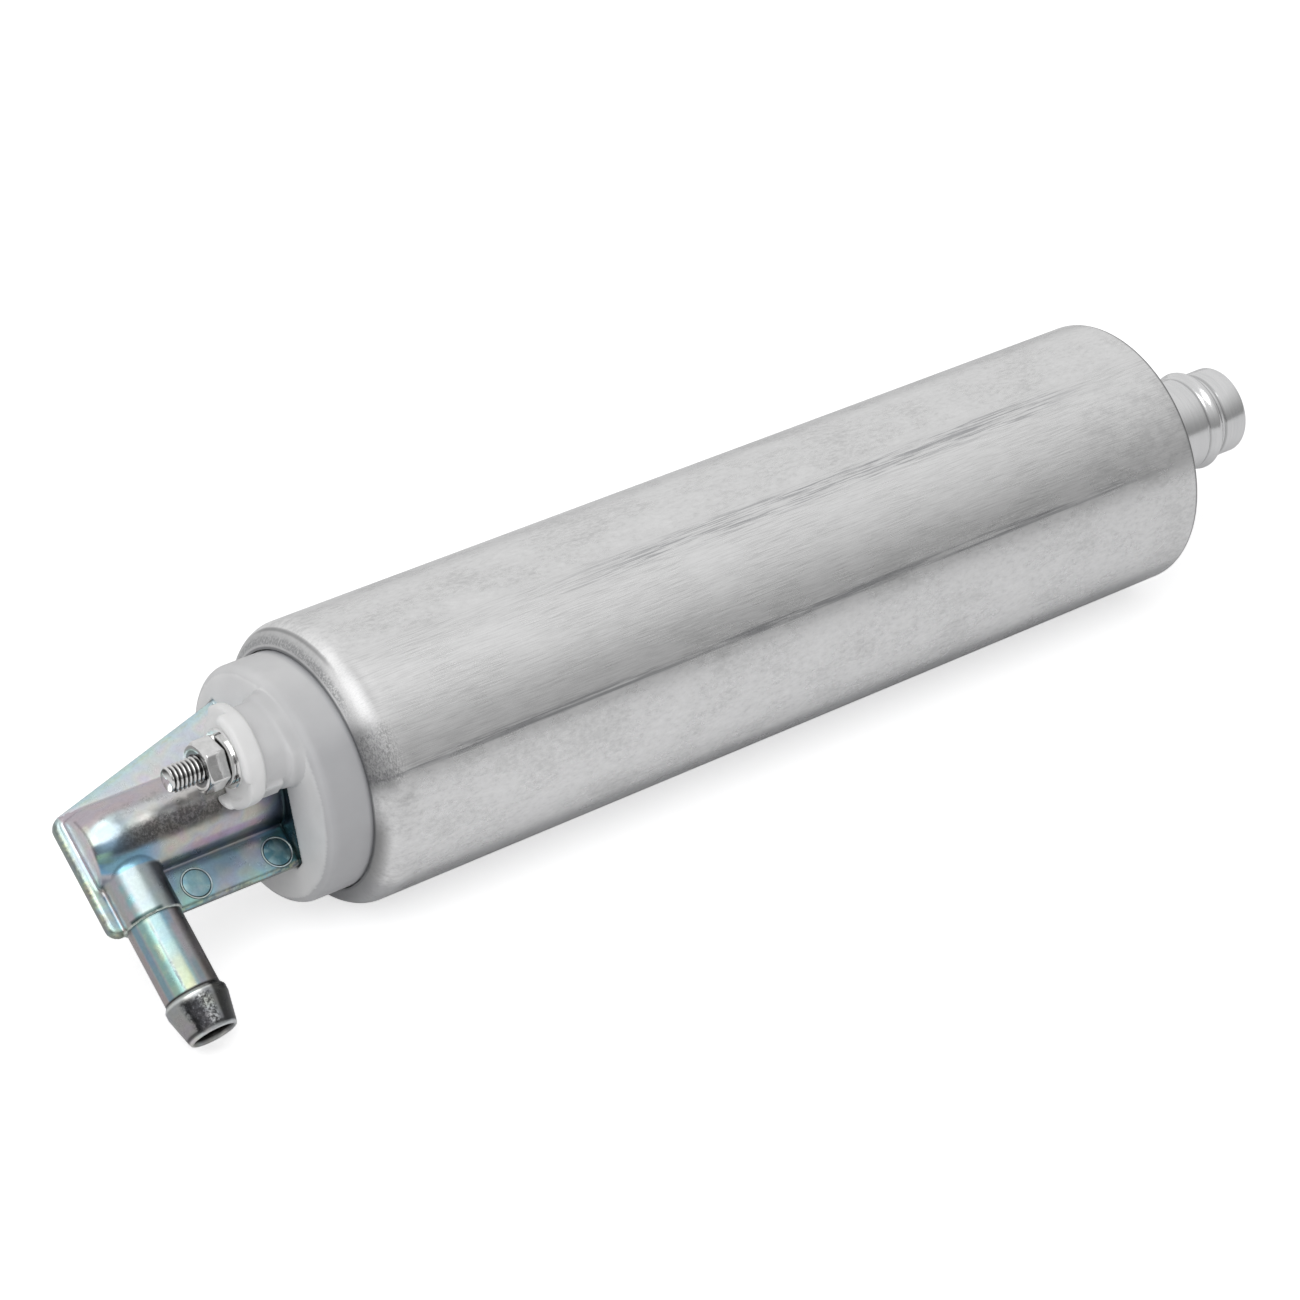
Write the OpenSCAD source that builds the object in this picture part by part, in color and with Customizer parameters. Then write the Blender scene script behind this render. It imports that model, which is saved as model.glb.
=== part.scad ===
// In-tank electric fuel pump, in millimetres. The pump's axis is X: the outlet elbow is at the
// -X end and the inlet spigot at the +X end. The origin is on the axis at the can's mid length.
// The pump lies on its can and on the tip of the hose barb, and Z points up.

/* [Can] */
// Length of the can over its two lips
can_len = 156.2; // [140:0.1:190]
// Outer diameter of the can
can_d = 43; // [42:0.1:48]
// Wall thickness of the can
can_wall = 1.2; // [0.9:0.05:1.5]
// Outside radius of the rolled front edge
roll_r = 3.9; // [3:0.1:4.5]
// Diameter of the opening in the rolled front edge
lip_d = 36.4; // [35.6:0.1:37.5]
// Thickness of the folded back lip
back_lip_t = 1; // [0.7:0.1:1.6]
// Diameter of the opening in the folded back lip
back_lip_d = 38.4; // [36:0.1:39.4]

/* [Outlet cap] */
// Height that the cap's disc stands out of the can
cap_rise = 7.2; // [5:0.1:9]
// Rounding of the disc's front edge
cap_round = 1.6; // [0.8:0.1:2.5]
// Thickness of the cap's front wall
cap_front_t = 3; // [2.5:0.1:3.5]
// Depth that the cap's skirt reaches into the can
cap_depth = 13.1; // [12:0.1:16]
// Thickness of the cap's skirt
skirt_t = 3.2; // [2.6:0.1:3.6]
// Depth of the pocket that takes the elbow's base
pocket_deep = 1.7; // [1:0.1:1.9]
// Diameter of the hub that takes the elbow's spigot
elbow_hub_d = 16; // [14.6:0.1:16.4]

/* [Elbow] */
// Outer diameter of the elbow's flow tube
flow_d = 12.6; // [11.6:0.1:13.4]
// Bore of the flow tube
flow_bore = 7.6; // [6.8:0.1:8.2]
// Reach of the flow tube in front of the can
flow_reach = 36.8; // [36.5:0.1:46]
// Distance of the stem's axis from the blind end of the tube
stem_back = 5.12; // [4.8:0.1:8]
// Thickness of the gusset plate
plate_t = 2; // [1.4:0.1:3]
// Reach of the gusset plate beyond the tube's blind end
plate_over = 1.5; // [0.8:0.1:3]
// Height of the plate on the barb's side
plate_low = 12.7; // [10:0.1:15]
// Height of the plate away from the barb, at its outer end
plate_high = 6.3; // [6.2:0.1:9]
// Height of the plate away from the barb, at the cap
plate_root = 14.6; // [12:0.1:16]
// Diameter of the socket round the stem
socket_d = 9; // [8.8:0.1:10]
// Distance of the socket's end from the pump's axis
socket_reach = 12.6; // [11:0.1:14]
// Outer diameter of the stem
stem_d = 8.34; // [7.6:0.02:8.6]
// Distance of the barb's shoulder from the pump's axis
barb_start = 24.5; // [21:0.1:26]
// Diameter of the barb's crest
barb_d = 9.3; // [9:0.1:10.4]
// Diameter of the barb's tip
barb_tip_d = 7.1; // [6.6:0.1:8]
// Distance of the barb's tip from the pump's axis
barb_reach = 30.8; // [29:0.1:36]
// Bore of the stem and barb
barb_bore = 5.6; // [4:0.1:6]
// Outer diameter of the spigot in the cap
spigot_d = 11.6; // [11:0.1:12]
// Diameter of the elbow's base
base_d = 15.4; // [14.4:0.1:16]

/* [Terminals] */
// Thread diameter of the terminal studs
stud_d = 4; // [3:0.1:4.4]
// Distance of each stud from the plane of the plate
stud_side = 11.8; // [11.5:0.1:12.2]
// Offset of the studs away from the barb
stud_up = 2.3; // [1:0.1:3]
// Reach of the studs in front of the can
stud_reach = 25.4; // [23:0.1:30]
// Diameter of the boss's flange
flange_d = 15.4; // [14:0.1:16]
// Thickness of the boss's flange
flange_t = 3.5; // [2.5:0.1:4.5]
// Height of the boss above the cap's disc
boss_rise = 9.9; // [8:0.1:11]
// Diameter of the boss's foot
boss_d = 14; // [12.8:0.1:15]
// Thickness of the boss's foot
boss_foot_t = 2.1; // [1:0.1:3]
// Diameter of the boss between foot and flange
boss_neck_d = 12.6; // [11:0.1:13.4]
// Diameter of the washer recess in the boss
recess_d = 12.2; // [10:0.1:12.4]
// Depth of the washer recess in the boss
recess_deep = 1.6; // [0.6:0.1:2]
// Width of the opening in the boss's rim for the wire
wire_way = 8.4; // [6:0.1:9]
// Width of the nut across its flats
nut_af = 7; // [6.6:0.1:8]
// Thickness of the nut
nut_t = 3.2; // [2.4:0.1:4]
// Thickness of the flat washer
washer_t = 0.8; // [0.5:0.1:1.2]
// Outer diameter of the flat washer
washer_d = 9; // [8:0.1:9.2]
// Thickness of the split spring washer
spring_washer_t = 1; // [0.8:0.1:1.4]

/* [Motor] */
// Diameter of the motor shaft
shaft_d = 5; // [4:0.1:5.4]
// Radial running clearance of the shaft in its bearings
shaft_clear = 0.05; // [0.03:0.01:0.1]
// Outer diameter of the two plain bearings
bearing_d = 9; // [8.2:0.1:9.6]
// Length of the two plain bearings
bearing_len = 7; // [5:0.1:7.4]
// Wall thickness of the flux ring
flux_t = 2.1; // [1.6:0.1:2.4]
// Radial thickness of the magnets
magnet_t = 4.35; // [3.6:0.05:4.6]
// Angle that each magnet spans
magnet_span = 130; // [110:1:136]
// Radial gap between the magnets and the armature
air_gap = 0.65; // [0.4:0.05:1]
// Number of slots in the armature
slot_count = 12; // [10:1:12]
// Diameter of each armature slot
slot_d = 3.8; // [3:0.1:4]
// Length of each winding head
head_len = 4.4; // [3.4:0.1:5]
// Thickness of the commutator's segments
segment_t = 3; // [2:0.1:4]
// Distance of the brushes' axes from the shaft's axis
brush_side = 10.4; // [10.1:0.1:10.6]
// Width of each brush towards the shaft
brush_w = 5.1; // [4.5:0.1:5.2]
// Width of each brush across
brush_h = 7.1; // [6:0.1:7.4]
// Length of each brush
brush_len = 12; // [10:0.1:14]
// Wear travel of each brush
brush_travel = 1.5; // [0.5:0.1:2]
// Length of the brush tubes
tube_len = 20.3; // [18:0.1:24]
// Wall thickness of the brush tubes
tube_wall = 0.4; // [0.3:0.05:0.5]

/* [Pump] */
// Axial width of the pump's rotors
rotor_w = 9; // [7:0.1:12]
// Outer diameter of the outer rotor
outer_rotor_d = 26; // [25.4:0.1:27]
// Offset between the two rotors' axes
offset_e = 1.1; // [0.9:0.02:1.14]
// Distance of the lobes from the outer rotor's axis
lobe_pitch_r = 10.5; // [10.2:0.1:10.9]
// Radius of each lobe
lobe_r = 3.2; // [3:0.05:3.3]
// Gap between the meshing rotors
mesh_gap = 0.08; // [0.06:0.01:0.12]
// Thickness of the port plate
port_t = 8; // [7.8:0.1:10]
// Thickness of the inlet plate
inlet_plate_t = 6; // [5:0.1:8]
// Length of the pre-stage ring
pre_len = 11; // [9.4:0.1:14]
// Diameter of the pre-stage chamber
pre_d = 30; // [27:0.1:30.6]
// Number of vanes on the impeller
vane_count = 12; // [8:1:16]
// Thread diameter of the pump's clamping screws
clamp_screw_d = 3; // [2.5:0.1:3.2]
// Distance of the clamping screws from the axis
clamp_screw_r = 17.2; // [17:0.1:17.3]

/* [Inlet] */
// Length of the inlet cover inside the can
cover_len = 17; // [15:0.1:20]
// Thickness of the cover's end wall
cover_wall = 3.1; // [2.4:0.1:4]
// Outer diameter of the spigot between can and bead
spigot_root_d = 15.4; // [14.8:0.1:16]
// Outer diameter of the spigot beyond the bead
spigot_end_d = 14.3; // [13.8:0.1:14.8]
// Bore of the spigot
spigot_bore = 12.4; // [11:0.1:12.8]
// Reach of the spigot behind the can
spigot_reach = 24.8; // [22:0.1:32]
// Distance of the bead behind the can
bead_at = 18.1; // [15:0.1:19]
// Diameter over the bead
bead_d = 16.3; // [16.1:0.1:18]

/* [Valves] */
// Bore of the check valve's seat
check_bore = 4.4; // [3:0.1:4.8]
// Lift of the check valve's poppet
check_lift = 2.2; // [1:0.1:2.6]
// Diameter of the relief valve's bore
relief_d = 5.2; // [4.8:0.1:5.6]
// Diameter of the relief valve's ball
ball_d = 4.4; // [3.8:0.1:4.4]
// Lift of the relief valve's ball
relief_lift = 1.5; // [0.8:0.1:2]

/* [Hidden] */
$fn = 64;
can_r = can_d / 2;
can_ri = can_r - can_wall;
lip_r = lip_d / 2;
x_front = -can_len / 2;
x_back = can_len / 2;
seat_gap = 0.1;                 // gap that lets a seated piece go in
ring_gap = 0.03;                // gap of an O-ring in its squeezed place
lead_r = 0.45;                  // radius of a copper lead

// cap
cap_r = lip_r - 0.2;
cap_skirt_r = can_ri - seat_gap;
cap_face = x_front - cap_rise;
cap_inner = cap_face + cap_front_t;
cap_end = x_front + cap_depth;
pocket_floor = cap_face + pocket_deep;
ring_w = 2.2;                   // width of the O-ring grooves
ring_deep = 1.5;                // depth of the big O-ring grooves
cap_ring_x = x_front + roll_r + 4.7;
hub_end = x_front + 8;

// elbow
flow_r = flow_d / 2;
x_stem = x_front - flow_reach + stem_back;
spigot_r = spigot_d / 2;
elbow_ring_x = x_front;
elbow_ring_deep = 0.9;
clip_t = 0.8;
clip_x = hub_end + 0.05;
spigot_end_x = clip_x + clip_t + 1.15;
barb_tip_r = barb_tip_d / 2;
base_sunk = 0.15;
base_gap = 0.12;
lie_angle = atan2(barb_tip_r, barb_reach)
          + acos(can_r / sqrt(barb_reach * barb_reach + barb_tip_r * barb_tip_r));

// terminals
stud_r = stud_d / 2;
shank_r = stud_r - 0.25;        // the stud inside its cap, washers and nut
boss_face = cap_face - boss_rise;
recess_floor = boss_face + recess_deep;
washer_x = recess_floor;
spring_x = washer_x - washer_t;
nut_x = spring_x - spring_washer_t;
stud_tip = x_front - stud_reach;
stud_clear = 0.05;
seal_t = 1;
head_t = 1.5;
head_r = stud_r + 1.4;
tail_r = stud_r * 0.6;
tail_len = 2.7;
x_tail = cap_inner + seal_t + head_t + tail_len;

// check valve
seat_face = x_front + 6;
poppet_gap = 0.05;
poppet_seal_t = 0.75;
poppet_t = 2;
poppet_r = flow_bore / 2 - 0.8;
poppet_back = seat_face - poppet_gap - poppet_seal_t;
poppet_front = poppet_back - poppet_t;
poppet_stem_r = 1.2;
guide_t = 3;
guide_x = poppet_front - 7.2 - guide_t;

// motor
shaft_r = shaft_d / 2;
bearing_r = bearing_d / 2;
holder_x = cap_end + seat_gap;
holder_t = 3;
holder_hub_end = holder_x + 13.8;
bearing_front_x = holder_hub_end - 1 - bearing_len;
tube_x = holder_x + 1.4;
tube_end = tube_x + tube_len;
tube_w = brush_w + 0.1 + 2 * tube_wall;
tube_h = brush_h + 0.1 + 2 * tube_wall;
sleeve_wall = 1.2;
x_comm = tube_end + 3.1;
brush_tip = x_comm - 0.05;
brush_back = brush_tip - brush_len;
comm_ri = brush_side - brush_w / 2 - 0.65;
comm_r = sqrt(pow(brush_side + brush_w / 2, 2) + pow(brush_h / 2, 2)) + 0.2;
comm_body_t = 4;
x_comm_end = x_comm + segment_t + comm_body_t;
thrust_t = 0.9;
flux_r = can_ri - 0.15;
magnet_r = flux_r - flux_t - 0.05;
magnet_ri = magnet_r - magnet_t;
armature_r = magnet_ri - air_gap;
insulator_t = 0.6;

// pump stage, stacked forward from the back lip
x_cover1 = x_back - back_lip_t;
x_cover0 = x_cover1 - cover_len;
x_pre0 = x_cover0 - pre_len;
x_in0 = x_pre0 - inlet_plate_t;
x_rot0 = x_in0 - rotor_w;
x_port0 = x_rot0 - port_t;
port_hub = 3;
port_hub_r = bearing_r + 3;
x_hub0 = x_port0 - port_hub;
stack_r = can_ri - 0.2;
rotor_side = 0.05;
running = 0.06;
lobe_n = 7;
ecc_angle = 90;
key_w = 1.6;
key_h = shaft_r + 1.1;
key_floor = shaft_r - 0.9;

// armature, between the commutator and the port plate's hub
x_washer1 = x_hub0 - 0.1 - thrust_t;
spacer_len = 2.6;
x_stack0 = x_comm_end + insulator_t + head_len;
x_stack1 = x_washer1 - 0.05 - spacer_len - insulator_t - head_len;
magnet_over = 3;
flux_over = 2;
x_mag0 = x_stack0 - magnet_over;
x_mag1 = x_stack1 + magnet_over;
slot_at = armature_r - slot_d / 2 - 1.2;

// pre-stage
impeller_gap = 0.5;
impeller_r = pre_d / 2 - impeller_gap;
impeller_x = x_pre0 + 2;
impeller_disc_t = 1.5;
impeller_len = 6;
impeller_hub_r = shaft_r + 2.5;
clip_e_t = 0.8;
shaft_x0 = holder_x + 1.3;
shaft_x1 = impeller_x + impeller_len + 3 * clip_e_t + 0.6;

// relief valve
relief_r = relief_d / 2;
relief_at = (stack_r + outer_rotor_d / 2 - offset_e) / 2;
relief_seat_x = x_port0 + 2;
relief_seat_t = 3;
relief_seat_ri = ball_d / 2 - 0.8;
ball_r = ball_d / 2;
ball_x = relief_seat_x + relief_seat_t + 0.02
       + sqrt(ball_r * ball_r - relief_seat_ri * relief_seat_ri);
plug_t = 3;
plug_x = x_in0 + 2;

// inlet
cover_ring_x = x_cover0 + 6;
spigot_tip = x_back + spigot_reach;
bead_half = 1.6;
x_end_wall = x_cover1 - cover_wall;
spigot_flange_t = 0.8;
spigot_flange_r = spigot_root_d / 2 + 1.6;
spigot_x0 = x_end_wall - spigot_flange_t;
strainer_t = 0.8;
strainer_r = spigot_flange_r - 0.3;

// revolve a profile of [radius, x] points about the pump's axis
module turn() { rotate([90, 0, 90]) rotate_extrude() children(); }

// extrude an outline drawn in Y and Z from x0 to x1
module slab(x0, x1) {
  translate([x0, 0, 0]) rotate([90, 0, 90]) linear_extrude(x1 - x0) children();
}

// a solid or bored cylinder along X
module rod(x0, x1, r) { slab(x0, x1) circle(r); }
module tube(x0, x1, ro, ri) { slab(x0, x1) difference() { circle(ro); circle(ri); } }

// an O-ring about the pump's axis
module o_ring(x, mean_r, r) { turn() translate([mean_r, x]) circle(r, $fn = 32); }

// the place of the nearer stud, and the same on both sides of the plate
module at_stud() { translate([0, -stud_side, stud_up]) children(); }
module both_sides() { children(); mirror([0, 1, 0]) children(); }

// points of an arc about c, from angle a0 to a1
function arc(c, r, a0, a1, n = 8) =
  [for (i = [0 : n]) let (a = a0 + (a1 - a0) * i / n) [c[0] + r * cos(a), c[1] + r * sin(a)]];

// angle at which a line from point c touches a circle of radius r about the origin
function touch(c, r, side) = atan2(c[1], c[0]) + side * acos(r / norm(c));

// points that round the corner p between a and b
function round_corner(a, p, b, r, n = 8) =
  let (u1 = (a - p) / norm(a - p), u2 = (b - p) / norm(b - p),
       h = acos(u1 * u2) / 2, c = p + (u1 + u2) / norm(u1 + u2) * r / sin(h),
       s = p + u1 * r / tan(h) - c, t = p + u2 * r / tan(h) - c,
       a0 = atan2(s[1], s[0]), d = atan2(t[1], t[0]) - a0,
       turn_by = d > 180 ? d - 360 : d < -180 ? d + 360 : d)
  [for (i = [0 : n]) c + r * [cos(a0 + turn_by * i / n), sin(a0 + turn_by * i / n)]];

// a round wire wound round X: mean radius r, wire radius w, from x0 to x1
module coil(x0, x1, r, w, turns, per = 16, sides = 6) {
  n = turns * per;
  points = [for (i = [0 : n]) for (j = [0 : sides - 1])
    let (a = i * 360 / per, b = j * 360 / sides)
    [x0 + w + (x1 - x0 - 2 * w) * i / n + w * sin(b),
     (r + w * cos(b)) * cos(a), (r + w * cos(b)) * sin(a)]];
  sides_faces = [for (i = [0 : n - 1]) for (j = [0 : sides - 1])
    let (k = i * sides, m = k + sides, l = (j + 1) % sides) [k + j, m + j, m + l, k + l]];
  ends = [[for (j = [0 : sides - 1]) j],
          [for (j = [sides - 1 : -1 : 0]) n * sides + j]];
  polyhedron(points, concat(sides_faces, ends));
}

// a round wire along a list of points
module wire(points, r) {
  for (i = [0 : len(points) - 2]) {
    d = points[i + 1] - points[i];
    translate(points[i])
      rotate([0, acos(d[2] / norm(d)), atan2(d[1], d[0])])
        cylinder(h = norm(d), r = r, $fn = 24);
  }
  if (len(points) > 2)
    for (i = [1 : len(points) - 2]) translate(points[i]) sphere(r * 1.12);
}

module casing() {
  c = [can_r - roll_r, x_front + roll_r];
  ri = roll_r - can_wall;
  a_out = -acos((lip_r - c[0]) / roll_r);
  a_in = -acos((lip_r - c[0]) / ri);
  color([0.75, 0.76, 0.77]) turn() polygon(concat(
    arc(c, roll_r, a_out, 0, 16),
    arc([can_r - 0.5, x_back - 0.5], 0.5, 0, 90, 4),
    [[back_lip_d / 2, x_back], [back_lip_d / 2, x_back - back_lip_t],
     [can_ri, x_back - back_lip_t]],
    arc(c, ri, 0, a_in, 12)));
}

// outline of the elbow's base in Y and Z, grown by gap: straight from a round middle to the
// plate's two edges, and open at the two bosses
module base_outline(gap) {
  r = base_d / 2 + gap;
  b1 = [-gap, -plate_low - gap];
  b2 = [plate_t + gap, -plate_low - gap];
  t2 = [plate_t + gap, plate_root + gap];
  t1 = [-gap, plate_root + gap];
  difference() {
    polygon(concat([b1, b2], arc([0, 0], r, touch(b2, r, 1), touch(t2, r, -1)), [t2, t1],
                   arc([0, 0], r, touch(t1, r, 1), touch(b1, r, -1) + 360)));
    for (side = [-1, 1]) translate([side * stud_side, stud_up]) circle(boss_d / 2 + 0.2 - gap);
  }
}

module boss_outline(r) {
  intersection() { translate([-stud_side, stud_up]) circle(r); circle(cap_r - 0.6); }
}

module terminal_boss() {
  bevel = 1.2;
  rib_len = 3.3;
  slab(cap_face - boss_foot_t, cap_face + cap_front_t / 2) boss_outline(boss_d / 2);
  slab(boss_face + flange_t / 2, cap_face) boss_outline(boss_neck_d / 2);
  translate([boss_face + flange_t - 0.5, -stud_side - 1.5, stud_up - boss_d / 2])
    cube([rib_len + 0.5, 3, boss_d / 2]);
  at_stud() turn() polygon(concat(
    [[0, boss_face + flange_t], [0, boss_face]],
    arc([flange_d / 2 - bevel, boss_face + bevel], bevel, -90, 0, 6),
    [[flange_d / 2, boss_face + flange_t]]));
}

module outlet_cap() {
  c = [can_r - roll_r, x_front + roll_r];
  r_in = roll_r - can_wall - seat_gap;
  a_in = -acos((cap_r - c[0]) / r_in);
  color([0.9, 0.91, 0.92]) difference() {
    union() {
      turn() polygon(concat(
        [[0, cap_face]],
        arc([cap_r - cap_round, cap_face + cap_round], cap_round, -90, 0, 8),
        arc(c, r_in, a_in, 0, 10),
        [[cap_skirt_r, cap_ring_x - ring_w / 2], [cap_skirt_r - ring_deep, cap_ring_x - ring_w / 2],
         [cap_skirt_r - ring_deep, cap_ring_x + ring_w / 2], [cap_skirt_r, cap_ring_x + ring_w / 2],
         [cap_skirt_r, cap_end], [cap_skirt_r - skirt_t, cap_end],
         [cap_skirt_r - skirt_t, x_front + roll_r],
         [cap_r - 2.2, x_front], [cap_r - 2.2, cap_inner], [elbow_hub_d / 2, cap_inner],
         [elbow_hub_d / 2, hub_end], [0, hub_end]]));
      both_sides() terminal_boss();
    }
    rod(boss_face - 1, pocket_floor, flow_r + base_gap);
    slab(cap_face - 0.001, pocket_floor) base_outline(base_gap);
    rod(cap_face, hub_end + 1, spigot_r + 0.05);
    both_sides() at_stud() {
      rod(boss_face - 1, cap_inner + 1, stud_r + stud_clear);
      rod(boss_face - 1, recess_floor, recess_d / 2);
      translate([boss_face - 1, -wire_way / 2, -flange_d])
        cube([spring_x - boss_face + 1, wire_way, flange_d]);
    }
  }
}

// one straight bevel along an edge of the plate's visible face
module edge_bevel(a, b, size) {
  d = b - a;
  translate([a[0], 0, a[1]]) rotate([0, -atan2(d[1], d[0]), 0])
    translate([-5, 0, 0]) rotate([45, 0, 0])
      translate([0, -size, -size]) cube([norm(d) + 10, 2 * size, 2 * size]);
}

module outlet_elbow() {
  x_end = x_front - flow_reach - plate_over;
  x_root = cap_face + base_sunk + 0.3;
  p = [[x_root, -plate_low], [x_end, -plate_low], [x_end, plate_high], [x_root, plate_root]];
  blind_round = 0.8;
  ridge = 0.7;
  land = 1;
  color([0.66, 0.68, 0.66]) difference() {
    union() {
      difference() {
        translate([0, plate_t, 0]) rotate([90, 0, 0]) linear_extrude(plate_t)
          polygon(concat([p[0]], round_corner(p[0], p[1], p[2], 1.8),
                         round_corner(p[1], p[2], p[3], 1.8), [p[3]]));
        edge_bevel(p[0], p[1], 0.5);
        edge_bevel(p[1], p[2], 0.5);
        edge_bevel(p[2], p[3], 0.5);
      }
      slab(cap_face + base_sunk, pocket_floor) base_outline(0);
      turn() polygon(concat(
        [[0, spigot_end_x], [0, x_front - flow_reach]],
        arc([flow_r - blind_round, x_front - flow_reach + blind_round], blind_round, -90, 0, 5),
        [[flow_r, pocket_floor], [spigot_r, pocket_floor],
         [spigot_r, elbow_ring_x - ring_w / 2],
         [spigot_r - elbow_ring_deep, elbow_ring_x - ring_w / 2],
         [spigot_r - elbow_ring_deep, elbow_ring_x + ring_w / 2],
         [spigot_r, elbow_ring_x + ring_w / 2], [spigot_r, clip_x],
         [spigot_r - 0.8, clip_x], [spigot_r - 0.8, clip_x + clip_t + 0.05],
         [spigot_r, clip_x + clip_t + 0.05], [spigot_r, spigot_end_x]]));
      translate([x_stem, 0, 0]) rotate([180, 0, 0]) rotate_extrude() polygon([
        [0, 0], [socket_d / 2, 0], [socket_d / 2, socket_reach - 0.3],
        [socket_d / 2 - 0.3, socket_reach], [stem_d / 2, socket_reach],
        [stem_d / 2, barb_start], [barb_d / 2, barb_start + ridge],
        [barb_d / 2, barb_start + ridge + land], [barb_tip_d / 2, barb_reach],
        [0, barb_reach]]);
    }
    rod(x_front - flow_reach + (flow_d - flow_bore) / 2, spigot_end_x + 1, flow_bore / 2);
    translate([x_stem, 0, -barb_reach - 1]) cylinder(h = barb_reach + 1, r = barb_bore / 2);
    for (x = [x_front - 22.9, x_front - 10])
      translate([x, -0.01, 0 - 9.7]) rotate([-90, 0, 0]) linear_extrude(0.16)
        difference() { circle(2.4); circle(2.1); }
  }
}

module elbow_o_ring() {
  color([0.1, 0.1, 0.11])
    o_ring(elbow_ring_x, spigot_r - elbow_ring_deep / 2 + 0.025, elbow_ring_deep / 2);
}

module elbow_clip() {
  color([0.6, 0.62, 0.64]) difference() {
    tube(clip_x, clip_x + clip_t, spigot_r + 1.9, spigot_r - 0.75);
    slab(clip_x - 1, clip_x + clip_t + 1)
      translate([0, -spigot_r * 0.8]) square([spigot_r * 2, spigot_r * 1.6]);
  }
}

module cap_o_ring() {
  r = (ring_deep + seat_gap) / 2 - ring_gap;
  color([0.1, 0.1, 0.11]) o_ring(cap_ring_x, can_ri - r - ring_gap, r);
}

module terminal_studs() {
  color([0.78, 0.78, 0.76]) both_sides() at_stud() turn() polygon([
    [0, stud_tip], [stud_r - 0.5, stud_tip], [stud_r, stud_tip + 0.5],
    [stud_r, nut_x - nut_t - 0.3], [shank_r, nut_x - nut_t - 0.1],
    [shank_r, cap_inner + seal_t], [head_r, cap_inner + seal_t],
    [head_r, cap_inner + seal_t + head_t], [tail_r, cap_inner + seal_t + head_t],
    [tail_r, x_tail], [0, x_tail]]);
}

module terminal_seals() {
  color([0.1, 0.1, 0.11]) both_sides() at_stud()
    tube(cap_inner, cap_inner + seal_t, head_r - 0.1, shank_r + 0.02);
}

module terminal_nuts() {
  c = nut_af / sqrt(3);
  color([0.8, 0.8, 0.78]) both_sides() at_stud() difference() {
    intersection() {
      slab(nut_x - nut_t, nut_x) polygon([for (i = [0 : 5]) [c * cos(60 * i), c * sin(60 * i)]]);
      turn() polygon([[0, nut_x - nut_t], [nut_af / 2 - 0.1, nut_x - nut_t],
                      [c + 0.2, nut_x - nut_t + (c + 0.3 - nut_af / 2) * 0.58],
                      [c + 0.2, nut_x - (c + 0.3 - nut_af / 2) * 0.58],
                      [nut_af / 2 - 0.1, nut_x], [0, nut_x]]);
    }
    rod(nut_x - nut_t - 1, nut_x + 1, stud_r + 0.02);
  }
}

module spring_washers() {
  color([0.5, 0.5, 0.5]) both_sides() at_stud() difference() {
    tube(spring_x - spring_washer_t, spring_x, stud_r + 1.8, stud_r + 0.1);
    translate([spring_x - spring_washer_t / 2, 0, stud_r + 1]) rotate([0, 25, 0])
      cube([3, 0.7, 3], center = true);
  }
}

module flat_washers() {
  color([0.8, 0.8, 0.78]) both_sides() at_stud()
    tube(washer_x - washer_t, washer_x, washer_d / 2, stud_r + 0.15);
}

module check_valve_seat() {
  color([0.78, 0.62, 0.32]) turn() polygon([
    [check_bore / 2, seat_face], [flow_bore / 2, seat_face],
    [flow_bore / 2, spigot_end_x], [check_bore / 2 + 0.6, spigot_end_x],
    [check_bore / 2, spigot_end_x - 0.8]]);
}

module check_valve_guide() {
  hub_r = poppet_stem_r + 1.1;
  color([0.2, 0.2, 0.22]) difference() {
    union() {
      rod(guide_x, guide_x + guide_t, hub_r);
      tube(guide_x, guide_x + guide_t, flow_bore / 2, flow_bore / 2 - 0.6);
      for (a = [0 : 120 : 240]) rotate([a, 0, 0])
        translate([guide_x, -0.5, 0]) cube([guide_t, 1, flow_bore / 2 - 0.3]);
    }
    rod(guide_x - 1, guide_x + guide_t + 1, poppet_stem_r + 0.08);
  }
}

module check_valve_poppet() {
  color([0.85, 0.85, 0.8]) turn() polygon([
    [0, poppet_back], [poppet_r, poppet_back], [poppet_r, poppet_back - 0.8],
    [poppet_stem_r + 0.2, poppet_front], [poppet_stem_r, poppet_front],
    [poppet_stem_r, guide_x - 2.4], [poppet_stem_r - 0.4, guide_x - 2.8], [0, guide_x - 2.8]]);
}

module poppet_seal() {
  color([0.1, 0.1, 0.11]) rod(poppet_back, poppet_back + poppet_seal_t, poppet_r - 0.1);
}

module check_valve_spring() {
  color([0.7, 0.7, 0.7]) coil(guide_x + guide_t, poppet_front - 0.02, 1.85, 0.2, 6);
}

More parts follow.
